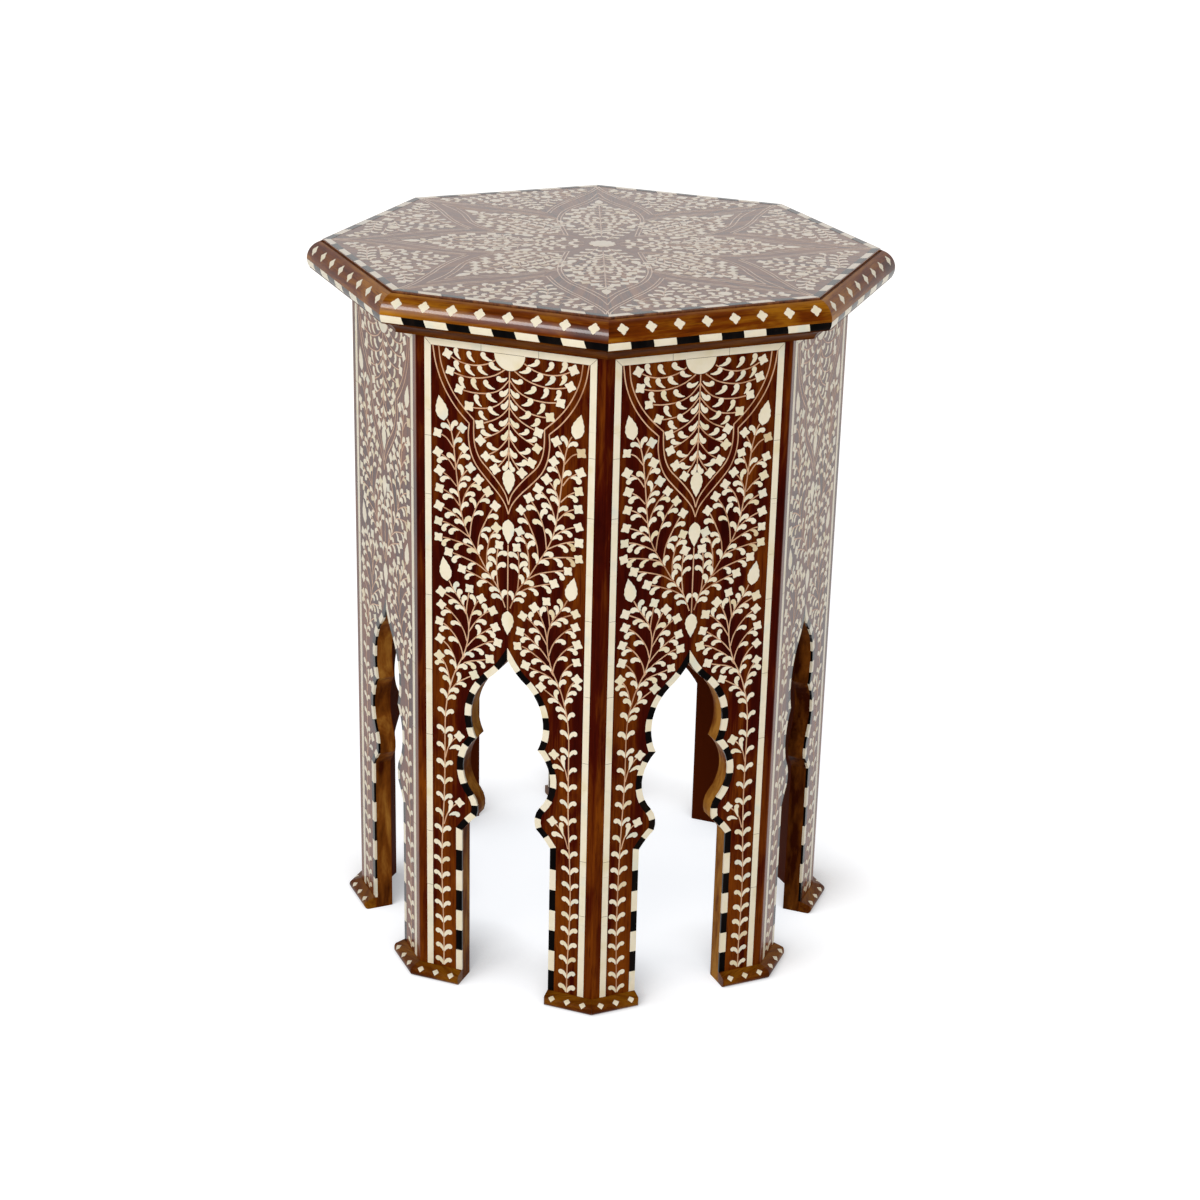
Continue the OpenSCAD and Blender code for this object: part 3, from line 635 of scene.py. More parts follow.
def curve(points):
    """Smooth line through given points."""
    if len(points) < 3:
        return list(points)
    ends = [2 * points[0] - points[1], *points, 2 * points[-1] - points[-2]]
    line = []
    for a, b, c, d in zip(ends, ends[1:], ends[2:], ends[3:]):
        for i in range(CURVE_STEPS):
            t = i / CURVE_STEPS
            bend = 2 * a - 5 * b + 4 * c - d
            twist = 3 * b - a - 3 * c + d
            line.append(b + ((c - a) * t + bend * t ** 2 + twist * t ** 3) / 2)
    return line + [points[-1]]


def length_of(path):
    return sum(abs(b - a) for a, b in zip(path, path[1:]))


def place_on(path, share):
    """Point and direction at a share of the path's length."""
    left = min(max(share, 0), 1) * length_of(path)
    for a, b in zip(path, path[1:]):
        step = abs(b - a)
        if left <= step:
            break
        left -= step
    return a + unit(b - a) * min(left, step), unit(b - a)


def share_near(path, point):
    near = min(range(len(path)), key=lambda i: abs(path[i] - point))
    return length_of(path[:near + 1]) / length_of(path)


def cut_back(path, by):
    """The path without its last stretch."""
    keep = length_of(path) - by
    kept = [path[0]]
    for a, b in zip(path, path[1:]):
        step = abs(b - a)
        if step >= keep:
            return kept + [a + unit(b - a) * keep]
        keep -= step
        kept.append(b)
    return kept


def beside(path, by):
    """The path moved sideways, to its left where by is above 0."""
    moved = []
    for i, p in enumerate(path):
        ahead = unit(path[min(i + 1, len(path) - 1)] - path[max(i - 1, 0)])
        moved.append(p + 1j * ahead * by)
    return moved


# Share of the leaf's length and half width, in head radii, along its two edges,
# and bearings of the points round its head
LEAF_BACK = ((0.0, 0.12), (0.28, 0.4), (0.56, 0.72), (0.82, 0.93))
LEAF_CAP = (-72, -38, -4, 30, 64, 98, 124, 150)
LEAF_FRONT = ((0.56, 0.6), (0.28, 0.36), (0.0, 0.12))
LEAF_BULGE = 0.12


def leaf_outline(tail, head, ahead, head_r):
    """Comma: a thin tail that leaves the stem along ahead, and a round head that
    bulges on the hollow side."""
    bend = tail + ahead * abs(head - tail) * LEAF_BEND
    hollow = 1j if (ahead.conjugate() * (head - tail)).imag >= 0 else -1j

    def on_line(t, sideways):
        point = (1 - t) ** 2 * tail + 2 * t * (1 - t) * bend + t ** 2 * head
        along = unit((1 - t) * (bend - tail) + t * (head - bend))
        return point + along * hollow * sideways * head_r

    end = unit(head - bend)
    middle = head + end * hollow * LEAF_BULGE * head_r
    sense = hollow.imag
    back = [on_line(t, -w) for t, w in LEAF_BACK]
    cap = [middle + head_r * end * turned(sense * angle) for angle in LEAF_CAP]
    front = [on_line(t, w) for t, w in LEAF_FRONT]
    return back + cap + front


# Bearing and share of the radius for one quarter of a flower
FLOWER_QUARTER = ((0, 1), (10, 0.89), (28, 0.73), (45, 0.62), (62, 0.73), (80, 0.89))


def flower_outline(middle, turn, radius):
    """Square flower with pointed corners and hollow sides."""
    return [middle + radius * r * turned(turn + 90 * q + angle)
            for q in range(4) for angle, r in FLOWER_QUARTER]


def neck(tail, head):
    return NECK_HEAD * head + NECK_TAIL * tail


class Sprays:
    """Leaves, flowers, stems and strings of one half of a pattern. Leaves keep off
    the discs, which are middles and radii, and off the points of the walls."""

    def __init__(self, room_at=lambda p: math.inf):
        self.leaves, self.flowers, self.stems, self.strings = [], [], [], []
        self.discs, self.walls, self.room_at = [], [], room_at

    def string(self, path):
        self.strings.append(path)
        self.walls += path

    def stem(self, points, cut=0.0):
        path = curve(points)
        self.stems.append(cut_back(path, cut) if cut else path)
        return path

    def flower(self, middle, turn):
        self.flowers.append((middle, turn))
        self.discs.append((middle, FLOWER_R * FLOWER_ROOM))

    def branch(self, points):
        """A stem with a flower on its last point."""
        path = self.stem(points, FLOWER_R * FLOWER_STEM)
        self.flower(path[-1], 45 + math.degrees(cmath.phase(path[-1] - path[-2])))
        return path

    def leaf(self, tail, head, ahead):
        self.leaves.append((tail, head, ahead))
        self.discs.append((head, LEAF_HEAD_R))
        self.discs.append((neck(tail, head), NECK_R))

    def hand_leaves(self, path, leaves):
        """Leaves given one by one, whose tails lie along the path."""
        for head, tail in [down(*leaf) for leaf in leaves]:
            near = min(range(len(path) - 1), key=lambda i: abs(path[i] - tail))
            along = unit(path[near + 1] - path[near])
            self.leaf(tail, head, unit(along + HAND_LEAF_RISE * unit(head - tail)))

    def has_room(self, tail, head, own):
        """True if a leaf that grows from its own stem touches nothing else."""
        thin = neck(tail, head)
        if head.real < LEAF_HEAD_R or self.room_at(head) < LEAF_HEAD_R + CLEAR:
            return False
        if any(abs(head - p) < LEAF_HEAD_R + r + CLEAR or abs(thin - p) < NECK_R + r
               for p, r in self.discs):
            return False
        if any(abs(head - p) < LEAF_HEAD_R + CLEAR + STEM_W for p in self.walls):
            return False
        for stem in self.stems:
            mine = abs(stem[0] - own[0]) + abs(stem[1] - own[1]) < CLEAR
            reach = LEAF_HEAD_R + STEM_W / 2 + (OWN_CLEAR if mine else CLEAR)
            if any(abs(head - p) < reach for p in stem):
                return False
            if not mine and any(abs(thin - p) < NECK_R + STEM_W / 2 for p in stem):
                return False
        return True

    # Change of spread, shift along the stem and share of the full length that a leaf
    # tries, row after row, until it has room
    TRIES = (
        (0, 0, 1), (-7, 0, 1), (8, 0, 1), (0, 1.4, 1), (0, -1.4, 1),
        (-8, 1.4, 0.92), (8, -1.4, 0.92), (14, 0, 0.92), (0, 2.8, 0.92),
        (0, -2.8, 0.92), (0, 0, 0.82), (14, 0, 0.82), (-12, 1.2, 0.82))

    def grow(self, path, share, side, spread=LEAF_SPREAD):
        """A leaf on the left (side 1) or right (side -1) of a path, if it finds room."""
        for wider, further, shorter in self.TRIES:
            base, ahead = place_on(path, min(share + further / length_of(path), LAST_SHARE))
            tail = base + ahead * 1j * side * STEM_W * LEAF_START
            head = tail + LEAF_REACH * shorter * ahead * turned(side * (spread + wider))
            if self.has_room(tail, head, path):
                self.leaf(tail, head, ahead)
                return

    def grow_at(self, path, shares, side):
        """Leaves at these shares of a path's length."""
        for share in shares:
            self.grow(path, share, side)

    def grow_both(self, path, shares):
        for side in (1, -1):
            self.grow_at(path, shares, side)


# The pattern of a panel, its right half, in points across and down from the top

# The double string round the hanging spray
FAN_STRINGS = (
    ((65.5, 46), (63.5, 60), (59, 74), (52.5, 86), (44, 97), (34.5, 106)),
    ((34.5, 106), (35, 116), (33, 128), (28, 139), (19, 149.5), (9, 160), (3, 168), (0, 176)),
    ((60.5, 46), (59, 59), (55, 71), (48.5, 83), (40, 93.5), (30.5, 102.5)),
    ((30.5, 102.5), (30.5, 113), (29, 124), (24.5, 134), (16, 143), (8, 152), (2.5, 160), (0, 168)))

# Hanging spray under the half disc: branches, with the head and tail of each leaf
FAN_STEM = ((0, 59), (0, 85), (0, 110), (0, 137))
FAN = (
    (((12, 52), (20, 56.5), (31, 58.8), (42, 57.5), (49, 54.5), (53, 52)),
     (((23, 49.5), (15, 53)), ((35, 50), (30, 56)), ((46, 48.5), (42, 55.5)))),
    (((4, 58.5), (13, 64.5), (24, 68), (35, 69), (45, 67.5), (51, 65.5)),
     (((16, 56.5), (8, 59)), ((26, 60.5), (19, 65)), ((36.5, 61), (30, 67)), ((46, 59), (42, 65.5)))),
    (((0, 66), (8, 75), (18, 79.5), (30, 80.8), (39, 80), (43.5, 79.5)),
     (((21, 71.5), (13, 75.5)), ((31.5, 71.5), (27, 78)), ((42, 71.5), (38, 78)))),
    (((0, 77), (8, 86), (17, 91), (29, 92.8), (35, 92)),
     (((18.5, 81.5), (11, 85.5)), ((29, 84), (24, 91)))),
    (((0, 88), (6, 95), (13, 100), (21, 103.5), (25.5, 105.5)),
     (((17, 92), (9, 95.5)), ((25, 96.5), (19, 101)))),
    (((0, 100), (6, 107), (13, 112), (20, 115.5), (24.5, 118.5)),
     (((16, 106), (9, 108.5)), ((22.5, 111.5), (15, 113)))),
    (((0, 112), (5, 119), (10, 124.5), (16, 128.5), (19.5, 131)), (((17, 121.5), (9, 123.5)),)),
    (((0, 124), (3, 130), (7, 135.5), (9, 138), (11.5, 140.5)), (((14, 131.5), (6, 133)),)))
FAN_STEM_LEAVES = (
    ((9.5, 67), (2, 64.5)), ((6.5, 78.5), (1, 73)), ((5, 88.5), (1, 82)),
    ((6.5, 102.5), (1, 96.5)), ((4.5, 113.5), (1, 106.5)), ((5, 127), (1, 121)),
    ((3.2, 138.5), (1, 132)))

# Upper plant: it grows from the lower middle bud to the upper side bud
UPPER_STEM = (
    (2, 256), (8, 240), (17, 228), (25, 215), (33, 202), (39, 188), (42, 172), (44, 155),
    (46, 138), (48, 122), (51, 110), (53.5, 105))
UPPER_OUTWARD = (
    ((47.5, 128), (53, 121), (57, 118.5), (61.5, 117)),
    ((46, 146), (51, 139), (57, 135), (61, 133)),
    ((44.5, 160), (50, 154), (55, 150.5), (59.5, 148.5)),
    ((42, 176), (48, 169), (54, 165), (59.5, 163.5)),
    ((39, 190), (46, 184), (54, 180), (60, 178.5)),
    ((34, 201), (42, 196.5), (53, 192), (60.5, 191.5)),
    ((28, 211), (36, 208), (52, 205), (60.5, 205)),
    ((18, 228), (27, 222.5), (44, 217.5), (51.5, 216.5)),
    ((7, 243), (16, 237), (30, 231.5), (39.5, 229)))
UPPER_INWARD = (
    ((47, 127), (45.5, 120), (43, 115), (40.5, 110.5)),
    ((45.5, 145), (43, 137), (40.5, 131), (38.5, 127)),
    ((43.5, 166), (42, 156), (38, 148), (32.5, 142.5)),
    ((41, 182), (38.5, 170), (34, 160), (29, 154.5), (25.5, 151.5)),
    ((33, 201), (31.5, 188), (27, 174), (21, 164.5), (17.5, 160.5)),
    ((26, 215), (25, 200), (19.5, 186), (14, 175.5), (11, 171.5)),
    ((17.5, 228), (18, 213), (15.5, 199), (12, 193.5), (10, 189.5)),
    ((8, 240), (9.5, 225), (9, 210), (7.5, 203.5)))

# Lower plant: its stem runs down the leg from the lower side bud
LOWER_STEM = (
    (51, 241), (46, 250), (40, 258), (35.5, 268), (34, 280), (35.5, 292), (39, 304),
    (44, 314), (48, 323), (51, 333), (53.5, 343), (55, 356), (55.5, 370), (55.5, 400),
    (56, 430), (57, 460), (58, 500), (58, 540), (57.5, 575), (57.5, 598))
LOWER_OUTWARD = (
    ((36, 268), (42, 259.5), (50, 255), (58, 251.5)),
    ((36, 292), (38.5, 283), (44, 274), (51, 267), (58, 263)),
    ((39.5, 308), (41.5, 298), (47, 288), (54, 281), (60, 278)),
    ((45.5, 319), (47.5, 308), (52, 300), (56, 296), (60, 293.5)),
    ((51.5, 335), (53, 324), (56, 315), (61, 308.5)))
LOWER_INWARD = (
    ((36, 266), (35, 258), (33.5, 249), (33, 245)),
    ((34, 279), (31.5, 268), (27, 257), (22.5, 252)),
    ((34.5, 284), (27.5, 273), (19, 264), (12.5, 261)),
    ((36.5, 297), (28, 287), (15, 277), (10.5, 275)),
    ((41, 309), (32, 299), (16, 289), (8.5, 288)),
    ((47, 321), (38, 311), (22, 306), (16, 304)),
    ((53, 342), (46, 331), (36, 324), (30, 320.5)))
SPRIGS = (
    (((55, 400), (52.5, 390), (48, 382.5), (42.5, 378)),
     (((50.5, 379.5), (52.2, 389.5)), ((43.5, 388.5), (51.3, 391.5)))),
    (((56, 462), (53, 451.5), (48, 444), (42, 439.5)),
     (((50, 441), (52.2, 451)), ((43.8, 450.5), (51.5, 453)))))

# Outer edge of the striped band round the arch
ARCH_EDGE = (
    (0, 293), (8, 301), (15, 309), (21.5, 317), (30, 329), (35.5, 340), (36.8, 350),
    (36, 361), (33.5, 370), (31.8, 377), (34, 384), (39, 391), (43, 397), (44.7, 403),
    (44.2, 412), (41, 421), (36.5, 429), (33, 438), (32.6, 446), (38, 452.5), (45.5, 462))

STRAIGHT_STEM = ((0, 202), (0, 258))
# Middles of the carved buds. Each keeps three discs clear: steps down, and radii.
BUD_PLACES = ((0, 149), (0, 191), (0, 269), (58, 96), (55, 231))
BUD_ROOM = ((-6, 3.5), (0, 5.5), (6, 4.5))
HALF_DISC = -45.7j, 13
# Inner edge of the upright strips
STRIP_IN = 66.9
# Distance from a branch to the leaf above it on the stem
CROTCH = 3
# Shares of the two stems where more leaves may grow
UPPER_TIP = 0.94, 0.9, 0.86
UPPER_REST = 0.75, 0.6, 0.45, 0.3, 0.15, 0.04
LOWER_TIP = 0.985, 0.965, 0.95, 0.93
# Length under which a branch has fewer leaves
SHORT_BRANCH = 22
# Pairs of leaves up the leg: number, first pitch and its growth, and angle to the stem
PAIRS = 18
PAIR_PITCH, PAIR_GROWTH = 13.4, 0.085
PAIR_SPREAD = 38


def half_panel():
    """The right half of a panel's pattern."""
    half = Sprays(lambda p: STRIP_IN - p.real)
    for part in FAN_STRINGS:
        half.string(curve(down(*part)))
    half.walls += curve(down(*ARCH_EDGE))
    half.discs.append(HALF_DISC)
    for u, d in BUD_PLACES:
        half.discs += [(complex(u, -d - dd), r) for dd, r in BUD_ROOM]
    hanging_spray(half)
    upper_plant(half)
    lower_plant(half)
    return half


def with_hand_leaves(half, branches):
    for points, leaves in branches:
        half.hand_leaves(half.branch(down(*points)), leaves)


def hanging_spray(half):
    stem = half.stem(down(*FAN_STEM))
    with_hand_leaves(half, FAN)
    half.hand_leaves(stem, FAN_STEM_LEAVES)


def upper_plant(half):
    half.stem(down(*STRAIGHT_STEM))
    stem = half.stem(down(*UPPER_STEM))
    outward = [half.branch(down(*b)) for b in UPPER_OUTWARD]
    inward = [half.branch(down(*b)) for b in UPPER_INWARD]
    stem_leaves(half, stem, outward, inward, UPPER_TIP)
    for path in outward:
        branch_leaves(half, path, -1, (0.5,), (0.34, 0.68))
    for path in inward:
        branch_leaves(half, path, 1, (0.5,), (0.72, 0.42))
        half.grow_at(path, (0.6,), -1)
    half.grow_both(stem, UPPER_REST)


def stem_leaves(half, stem, outward, inward, tip):
    """A leaf on the main stem above each branch, and some near its tip."""
    for side, branches in ((-1, outward), (1, inward)):
        for path in branches:
            half.grow(stem, share_near(stem, path[0]) + CROTCH / length_of(stem), side)
    half.grow_both(stem, tip)


def branch_leaves(half, path, side, on_short, on_long):
    """Leaves on one side of a branch, at shares that go by its length."""
    half.grow_at(path, on_short if length_of(path) < SHORT_BRANCH else on_long, side)


def lower_plant(half):
    stem = half.stem(list(reversed(down(*LOWER_STEM))))
    outward = [half.branch(down(*b)) for b in LOWER_OUTWARD]
    inward = [half.branch(down(*b)) for b in LOWER_INWARD]
    with_hand_leaves(half, SPRIGS)
    stem_leaves(half, stem, outward, inward, LOWER_TIP)
    for path in outward:
        half.grow_at(path, (0.36, 0.72), -1)
    for path in inward:
        branch_leaves(half, path, 1, (0.6,), (0.38, 0.74))
        half.grow_at(path, (0.45, 0.75), -1)
    for i in range(PAIRS):
        place = i * (PAIR_PITCH + i * PAIR_GROWTH)
        for side in (1, -1):
            half.grow(stem, place / length_of(stem), side, PAIR_SPREAD)


# The star on the top, in points across and outwards. A petal points to a corner, and
# a field lies along a side.

# The double string round a petal, and along a field
PETAL_STRING = (
    (31.4, 31.4), (34, 50), (36.5, 70), (37.5, 90), (36, 105), (33.5, 118), (28, 133),
    (20, 147), (12, 161), (5.5, 177), (0, 197))
PETAL_INNER_STRING = (
    (28.2, 28.2), (31, 50), (33.5, 70), (34.5, 90), (33, 104), (30.5, 116), (25.5, 130),
    (17.5, 143), (10, 156), (4.5, 168), (0, 178))
FIELD_STRING = (
    (0, 121.5), (6, 129.5), (17, 142.5), (26, 151.5), (36.5, 161), (46.5, 169), (58, 179.5),
    (70, 190.5), (80.5, 202.5), (84, 208.5))
STRING_GAP = 3.0
# How far out a back petal's strings come into sight
BACK_PETAL_STARTS = 90
PETAL_STEM = ((0, 29), (0, 70), (0, 110), (0, 150.5))
BACK_STEM = ((0, 52), (0, 100), (0, 150.5))
# Discs that the buds and the rosette in the middle keep clear
TIP_BUD = (156j, 4.2), (162j, 3)
INNER_BUD = (24.5 + 59.5j, 4.2), (28 + 68j, 3)
CENTRE_ROOM = 0, 14.5
# The stem of an inner bud, and its leaves as shares of it
ARM_STEM = ((4, 15), (9, 27), (14, 38), (19, 48), (23, 55.5))
ARM_LEAVES = 0.1, 0.35, 0.6, 0.85
# Branches of a petal: their pitch, where the first and the last start, widths to try,
# points in shares of the width, and how far out one must end to bear a flower
ROW_PITCH = 9.0
ROW_FIRST, ROW_LAST = 52, 140
ROW_WIDTHS = range(34, 6, -1)
ROW_SHAPE = ((0, 0), (0.3, 0.26), (0.65, 0.4), (1, 0.45))
ROW_FLOWER_FROM = 86
# Pitch of a branch's leaves, their start on each side in pitches, and places tried on
# the stem
ROW_LEAF_PITCH = 8
ROW_SIDES = (-1, 0.3), (1, 0.6)
STEM_PLACES = 16
# How near in distance from the middle a wall lies beside a point
BESIDE = 6


def petal(front):
    """One half of a petal. The four front petals hide the inner part of the others."""
    half = Sprays()
    sight_from = 0 if front else BACK_PETAL_STARTS
    for edge in (PETAL_STRING, PETAL_INNER_STRING):
        half.string(curve([p for p in out(*edge) if p.imag >= sight_from]))
    if front:
        half.discs += [CENTRE_ROOM, *INNER_BUD]
    else:
        half.walls += [p * turned(-45) for p in curve(out(*PETAL_STRING))]
    half.discs += TIP_BUD
    stem = half.stem(out(*(PETAL_STEM if front else BACK_STEM)))
    arm = half.stem(out(*ARM_STEM)) if front else None
    first = ROW_FIRST if front else ROW_FIRST + ROW_PITCH
    rows = [petal_row(half, first + i * ROW_PITCH)
            for i in range(int((ROW_LAST - first) / ROW_PITCH) + 1)]
    if front:
        half.grow_both(arm, ARM_LEAVES)
    for row in filter(None, rows):
        steps = int(length_of(row) / ROW_LEAF_PITCH)
        for side, start in ROW_SIDES:
            half.grow_at(row, [(i + start) / (steps + 0.5) for i in range(steps)], side)
    half.grow_at(stem, [i / STEM_PLACES for i in range(STEM_PLACES)], -1)
    return half


def petal_row(half, start):
    """A branch that sweeps out from the middle stem as far as the strings allow."""
    for width in ROW_WIDTHS:
        points = [complex(u * width, start + v * width) for u, v in ROW_SHAPE]
        if row_fits(half, points[-1]):
            flowers = points[-1].imag > ROW_FLOWER_FROM
            return half.branch(points) if flowers else half.stem(points)
    return None


def row_fits(half, end):
    """True if a flower has room there, and no wall lies between it and the stem."""
    if any(abs(end - p) <= FLOWER_R + CLEAR for p in half.walls):
        return False
    if any(abs(end - p) <= FLOWER_R + r for p, r in half.discs):
        return False
    return all(p.real > end.real for p in half.walls if abs(p.imag - end.imag) < BESIDE)


FIELD_STEM = ((0, 190.5), (0, 165), (0, 144))
FIELD_FLOWER = 139j
FIELD_SIDE = ((4.5, 200), (14, 201), (26, 197.5), (40, 192.5), (52, 192), (60, 195.5), (66.5, 199.5))
FIELD_SPRIGS = (
    ((2, 191), (7, 186), (13, 182), (18.5, 180.6)),
    ((28.5, 185), (35, 183), (42, 181), (50, 183)),
    ((23.5, 174.5), (21.5, 167), (16.5, 158), (9.5, 149)),
    ((27, 175), (31, 171.5), (38, 172), (45, 177)))
FIELD_DISCS = (24.5 + 180.7j, 6), (197.7j, 6)
BORDER_INSIDE = 208.5
FIELD_STEM_LEAVES = 0.1, 0.28, 0.48, 0.68, 0.88
FIELD_LEAF_PITCH = 8.5


def field():
    half = Sprays(lambda p: BORDER_INSIDE - p.imag)
    edge = curve(out(*FIELD_STRING))
    half.string(edge)
    half.string(beside(edge, -STRING_GAP))
    half.discs += FIELD_DISCS
    stem = half.stem(out(*FIELD_STEM))
    half.flower(FIELD_FLOWER, 45)
    paths = [half.branch(out(*FIELD_SIDE)), *[half.stem(out(*s)) for s in FIELD_SPRIGS]]
    half.grow_at(stem, FIELD_STEM_LEAVES, 1)
    for path in paths:
        steps = max(2, int(length_of(path) / FIELD_LEAF_PITCH))
        half.grow_both(path, [(i + 0.35) / steps for i in range(steps)])
    return half


# From flat drawing to solid inlay

# How deep the inlay is let in, and how far its kinds stand out, in millimetres
SUNK = 0.3
STRING_PROUD, STEM_PROUD = 0.035, 0.055
LEAF_PROUD, FLOWER_PROUD = 0.12, 0.14
# Lift between two strips that may cross, so that no two lie in one plane
LAYER, LAYERS = 0.0012, 24


class Relief:
    """Gathers flat pieces of one material as closed solids let into a surface."""

    def __init__(self, place):
        self.place = place
        self.verts, self.faces = [], []

    def piece(self, outline, proud):
        """A piece with an outline that runs anticlockwise seen from outside."""
        area = sum((a.conjugate() * b).imag for a, b in zip(outline, outline[1:] + outline[:1]))
        if area < 0:
            outline = outline[::-1]
        n, first = len(outline), len(self.verts)
        for height in (-SUNK, proud):
            self.verts += [self.place(p, height) for p in outline]
        low, high = first, first + n
        self.faces.append([low + i for i in reversed(range(n))])
        self.faces.append([high + i for i in range(n)])
        for i in range(n):
            j = (i + 1) % n
            self.faces.append([low + i, low + j, high + j, high + i])

    def strip(self, path, width, proud):
        left, right = beside(path, width / 2), beside(path, -width / 2)
        first = len(self.verts)
        for a, b in zip(left, right):
            self.verts += [self.place(a, -SUNK), self.place(a, proud),
                           self.place(b, proud), self.place(b, -SUNK)]
        for i in range(len(path) - 1):
            here, there = first + 4 * i, first + 4 * (i + 1)
            for c in range(4):
                d = (c + 1) % 4
                self.faces.append([here + c, there + c, there + d, here + d])
        last = first + 4 * (len(path) - 1)
        self.faces.append([first, first + 1, first + 2, first + 3])
        self.faces.append([last + 3, last + 2, last + 1, last])

    def finish(self, name, made, slot=None):
        mesh = bpy.data.meshes.new(name)
        mesh.from_pydata(self.verts, [], self.faces)
        mesh.validate()
        mesh.materials.append(made)
        piece = placed(name, mesh)
        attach(piece, "root")


def on_panel(k):
    """Gives the place of a pattern point on face k, some height out of the wood."""
    def place(p, height):
        q = complex(FACE_A + height * MM, p.real * MM) * cmath.exp(1j * k * TURN)
        return (q.real, q.imag, TOP_Z + p.imag * MM)
    return place


def on_top(turns):
    """Gives the place of a pattern point on the top, its outward axis at that turn."""
    def place(p, height):
        q = complex(p.imag, -p.real) * cmath.exp(1j * turns * TURN) * MM
        return (q.real, q.imag, BOARD_Z + height * MM)
    return place


# How far the drawing wanders, over which lengths, the weight of the shorter one, and
# from where it wanders in full
WANDER = 0.55
WANDER_LENGTHS = (41.0, 19.0)
WANDER_SHORT = 0.5
WANDER_FULL = 12
# Change of a leaf's head and of a flower in shares, and of a flower's turn in degrees
HEAD_CHANGE, FLOWER_CHANGE, FLOWER_TURN = 0.09, 0.06, 14
# Where the seeds of the panels' copies and of the star's copies start
PANEL_SEEDS, STAR_SEEDS = 0, 100


class Hand:
    """The small differences that handwork leaves between copies of a pattern."""

    def __init__(self, seed, side):
        self.random = random.Random(seed)
        self.side = side
        self.phases = [self.random.uniform(0, math.tau) for _ in range(4)]

    def move(self, p):
        """Lets a point wander, and mirrors it if need be."""
        a, b, c, d = self.phases
        long, short = WANDER_LENGTHS
        slip = complex(
            math.sin(p.imag / long + a) + WANDER_SHORT * math.sin(p.imag / short + b),
            math.sin(p.real / long + c) + WANDER_SHORT * math.sin(p.imag / short + d))
        p += WANDER * slip * min(1, abs(p.real) / WANDER_FULL)
        return complex(p.real * self.side, p.imag)

    def leaf(self, tail, head, ahead):
        tip = self.move(tail + ahead)
        tail, head = self.move(tail), self.move(head)
        head_r = LEAF_HEAD_R * (1 + self.random.uniform(-HEAD_CHANGE, HEAD_CHANGE))
        return leaf_outline(tail, head, unit(tip - tail), head_r)

    def flower(self, middle, turn):
        radius = FLOWER_R * (1 + self.random.uniform(-FLOWER_CHANGE, FLOWER_CHANGE))
        turn = self.side * turn + self.random.uniform(-FLOWER_TURN, FLOWER_TURN)
        return flower_outline(self.move(middle), turn, radius)


def lift(number, side):
    """Small height of its own for a strip of one half."""
    return LAYER * (number % LAYERS + (LAYERS if side > 0 else 0))


def in_middle(*points):
    return all(abs(p.real) < 0.01 for p in points)


def inlay(half, hand, bones, woods):
    """Adds one half of a pattern. The right half adds what lies on the middle line."""
    whole = hand.side == 1
    for leaf in half.leaves:
        bones.piece(hand.leaf(*leaf), LEAF_PROUD)
    for middle, turn in half.flowers:
        if whole or not in_middle(middle):
            bones.piece(hand.flower(middle, turn), FLOWER_PROUD)
    for paths, proud in ((half.stems, STEM_PROUD), (half.strings, STRING_PROUD)):
        for number, path in enumerate(paths):
            if whole or not in_middle(*path):
                rise = lift(number, hand.side)
                woods.strip([hand.move(p) for p in path], STEM_W, proud + rise)


def panel_inlay(bone_material, string_material):
    half = half_panel()
    for k in range(SIDES):
        bones, woods = Relief(on_panel(k)), Relief(on_panel(k))
        for side in (1, -1):
            inlay(half, Hand(PANEL_SEEDS + 10 * k + side, side), bones, woods)
        bones.finish(f"panel_foliage_{k + 1}", bone_material, "bone")
        woods.finish(f"panel_stems_{k + 1}", string_material)


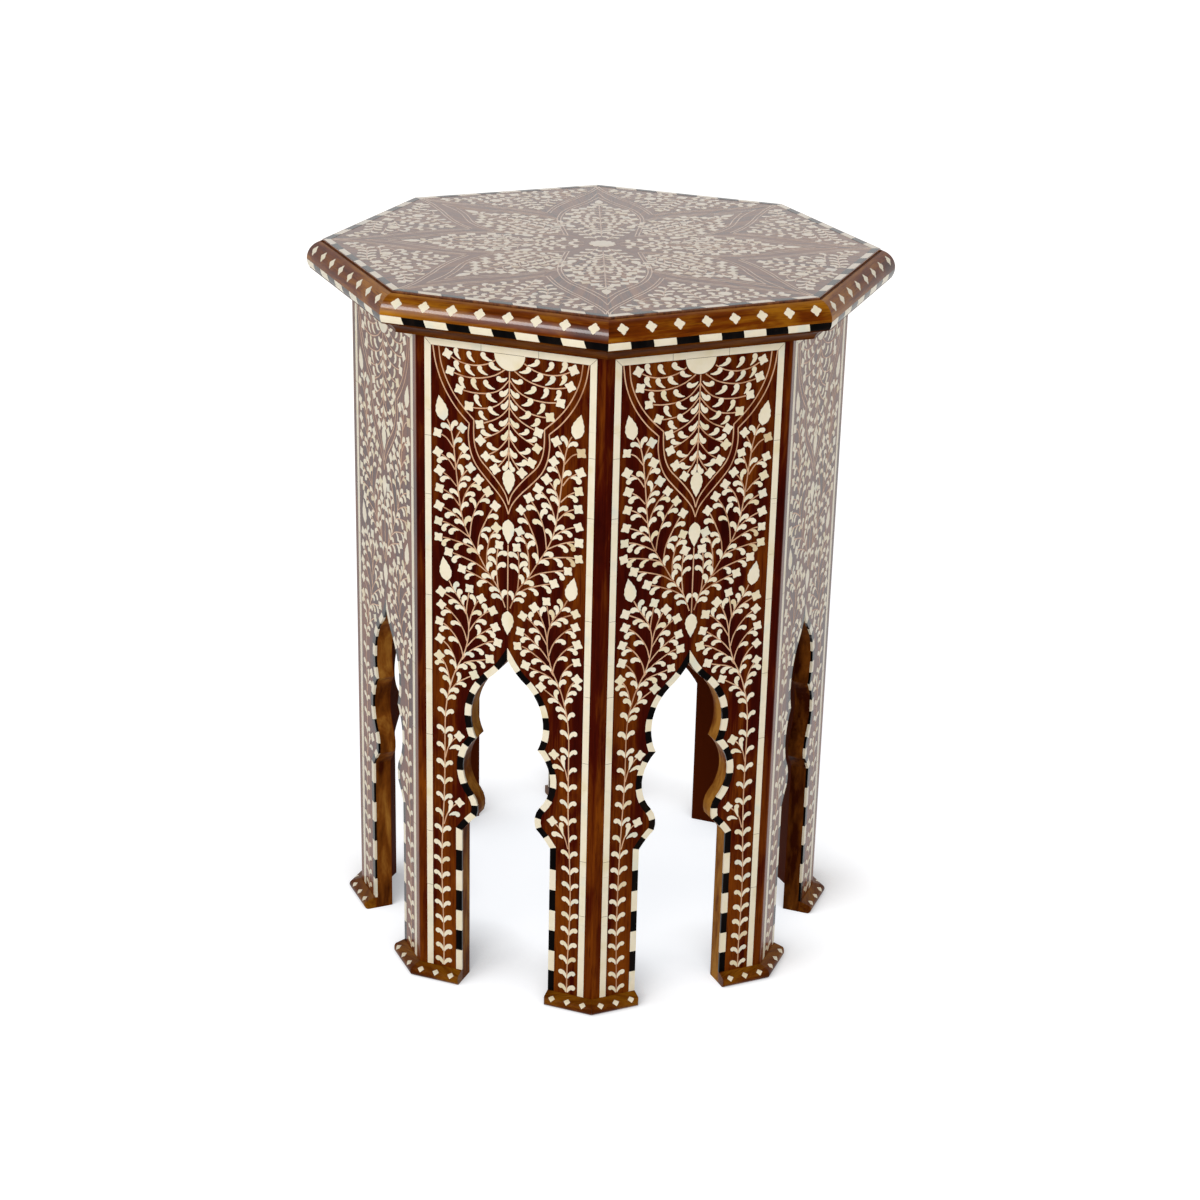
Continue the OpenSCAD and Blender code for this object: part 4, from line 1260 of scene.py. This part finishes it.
# The bone that frames a panel: edges of the upright strips from the middle line, and
# heights of their feet, of the top strip and of its lower edge
STRIP_EDGES = STRIP_IN, 72.45
STRIP_FOOT, STRIP_HEAD, STRIP_HEAD_LOW = 10.6, 569.8, 564.3
STRIP_LENGTHS = 8
# How far joints stray from equal lengths, in lengths, and its turn from one to the next
STRIP_WANDER, WANDER_TURN = 0.16, math.radians(137.5)
DISC_R = 12.5
GLUE_W, GLUE_PROUD = 0.3, 0.03


def glue_lines(made):
    """The dark glue between the ends of the pieces that frame a panel."""
    near, far = STRIP_EDGES
    ground = -TOP_Z / MM
    low, high = ground + STRIP_HEAD_LOW, ground + STRIP_HEAD
    for k in range(SIDES):
        lines = Relief(on_panel(k))

        def line(u, z, to_u, to_z, proud=GLUE_PROUD):
            lines.strip([complex(u, z), complex(to_u, to_z)], GLUE_W, proud)

        for side in (1, -1):
            for j in range(1, STRIP_LENGTHS):
                share = (j + STRIP_WANDER * math.sin(WANDER_TURN * j)) / STRIP_LENGTHS
                z = ground + STRIP_FOOT + (STRIP_HEAD - STRIP_FOOT) * share
                line(side * near, z, side * far, z)
            line(side * far / 3, low, side * far / 3, high)
            line(side * near, low, side * far, high)
        line(-DISC_R, low, DISC_R, low, LEAF_PROUD)
        lines.finish(f"glue_lines_{k + 1}", made)


def star_inlay(bone_material, string_material):
    front, back, side_field = petal(True), petal(False), field()
    bones, woods = Relief(None), Relief(None)
    for k in range(SIDES):
        for pattern, turns in ((front if k % 2 else back, k + 0.5), (side_field, k)):
            bones.place = woods.place = on_top(turns)
            for side in (1, -1):
                inlay(pattern, Hand(STAR_SEEDS + 10 * k + side, side), bones, woods)
    bones.finish("star_foliage", bone_material, "bone")
    woods.finish("star_strings", string_material)


bpy.context.scene.view_settings.view_transform = "Standard"
camera()
world()
floor()
for settings in LAMPS:
    lamp(*settings)
dress_cad_nodes(bone("bone", False), bone("top_bone", False, True))
panel_inlay(bone("leaf_bone", True), inlay_wood("string_wood", *STRING_WOOD))
star_inlay(
    bone("top_leaf_bone", True, True), inlay_wood("top_string_wood", *TOP_STRING_WOOD, True))
glue_lines(glue())
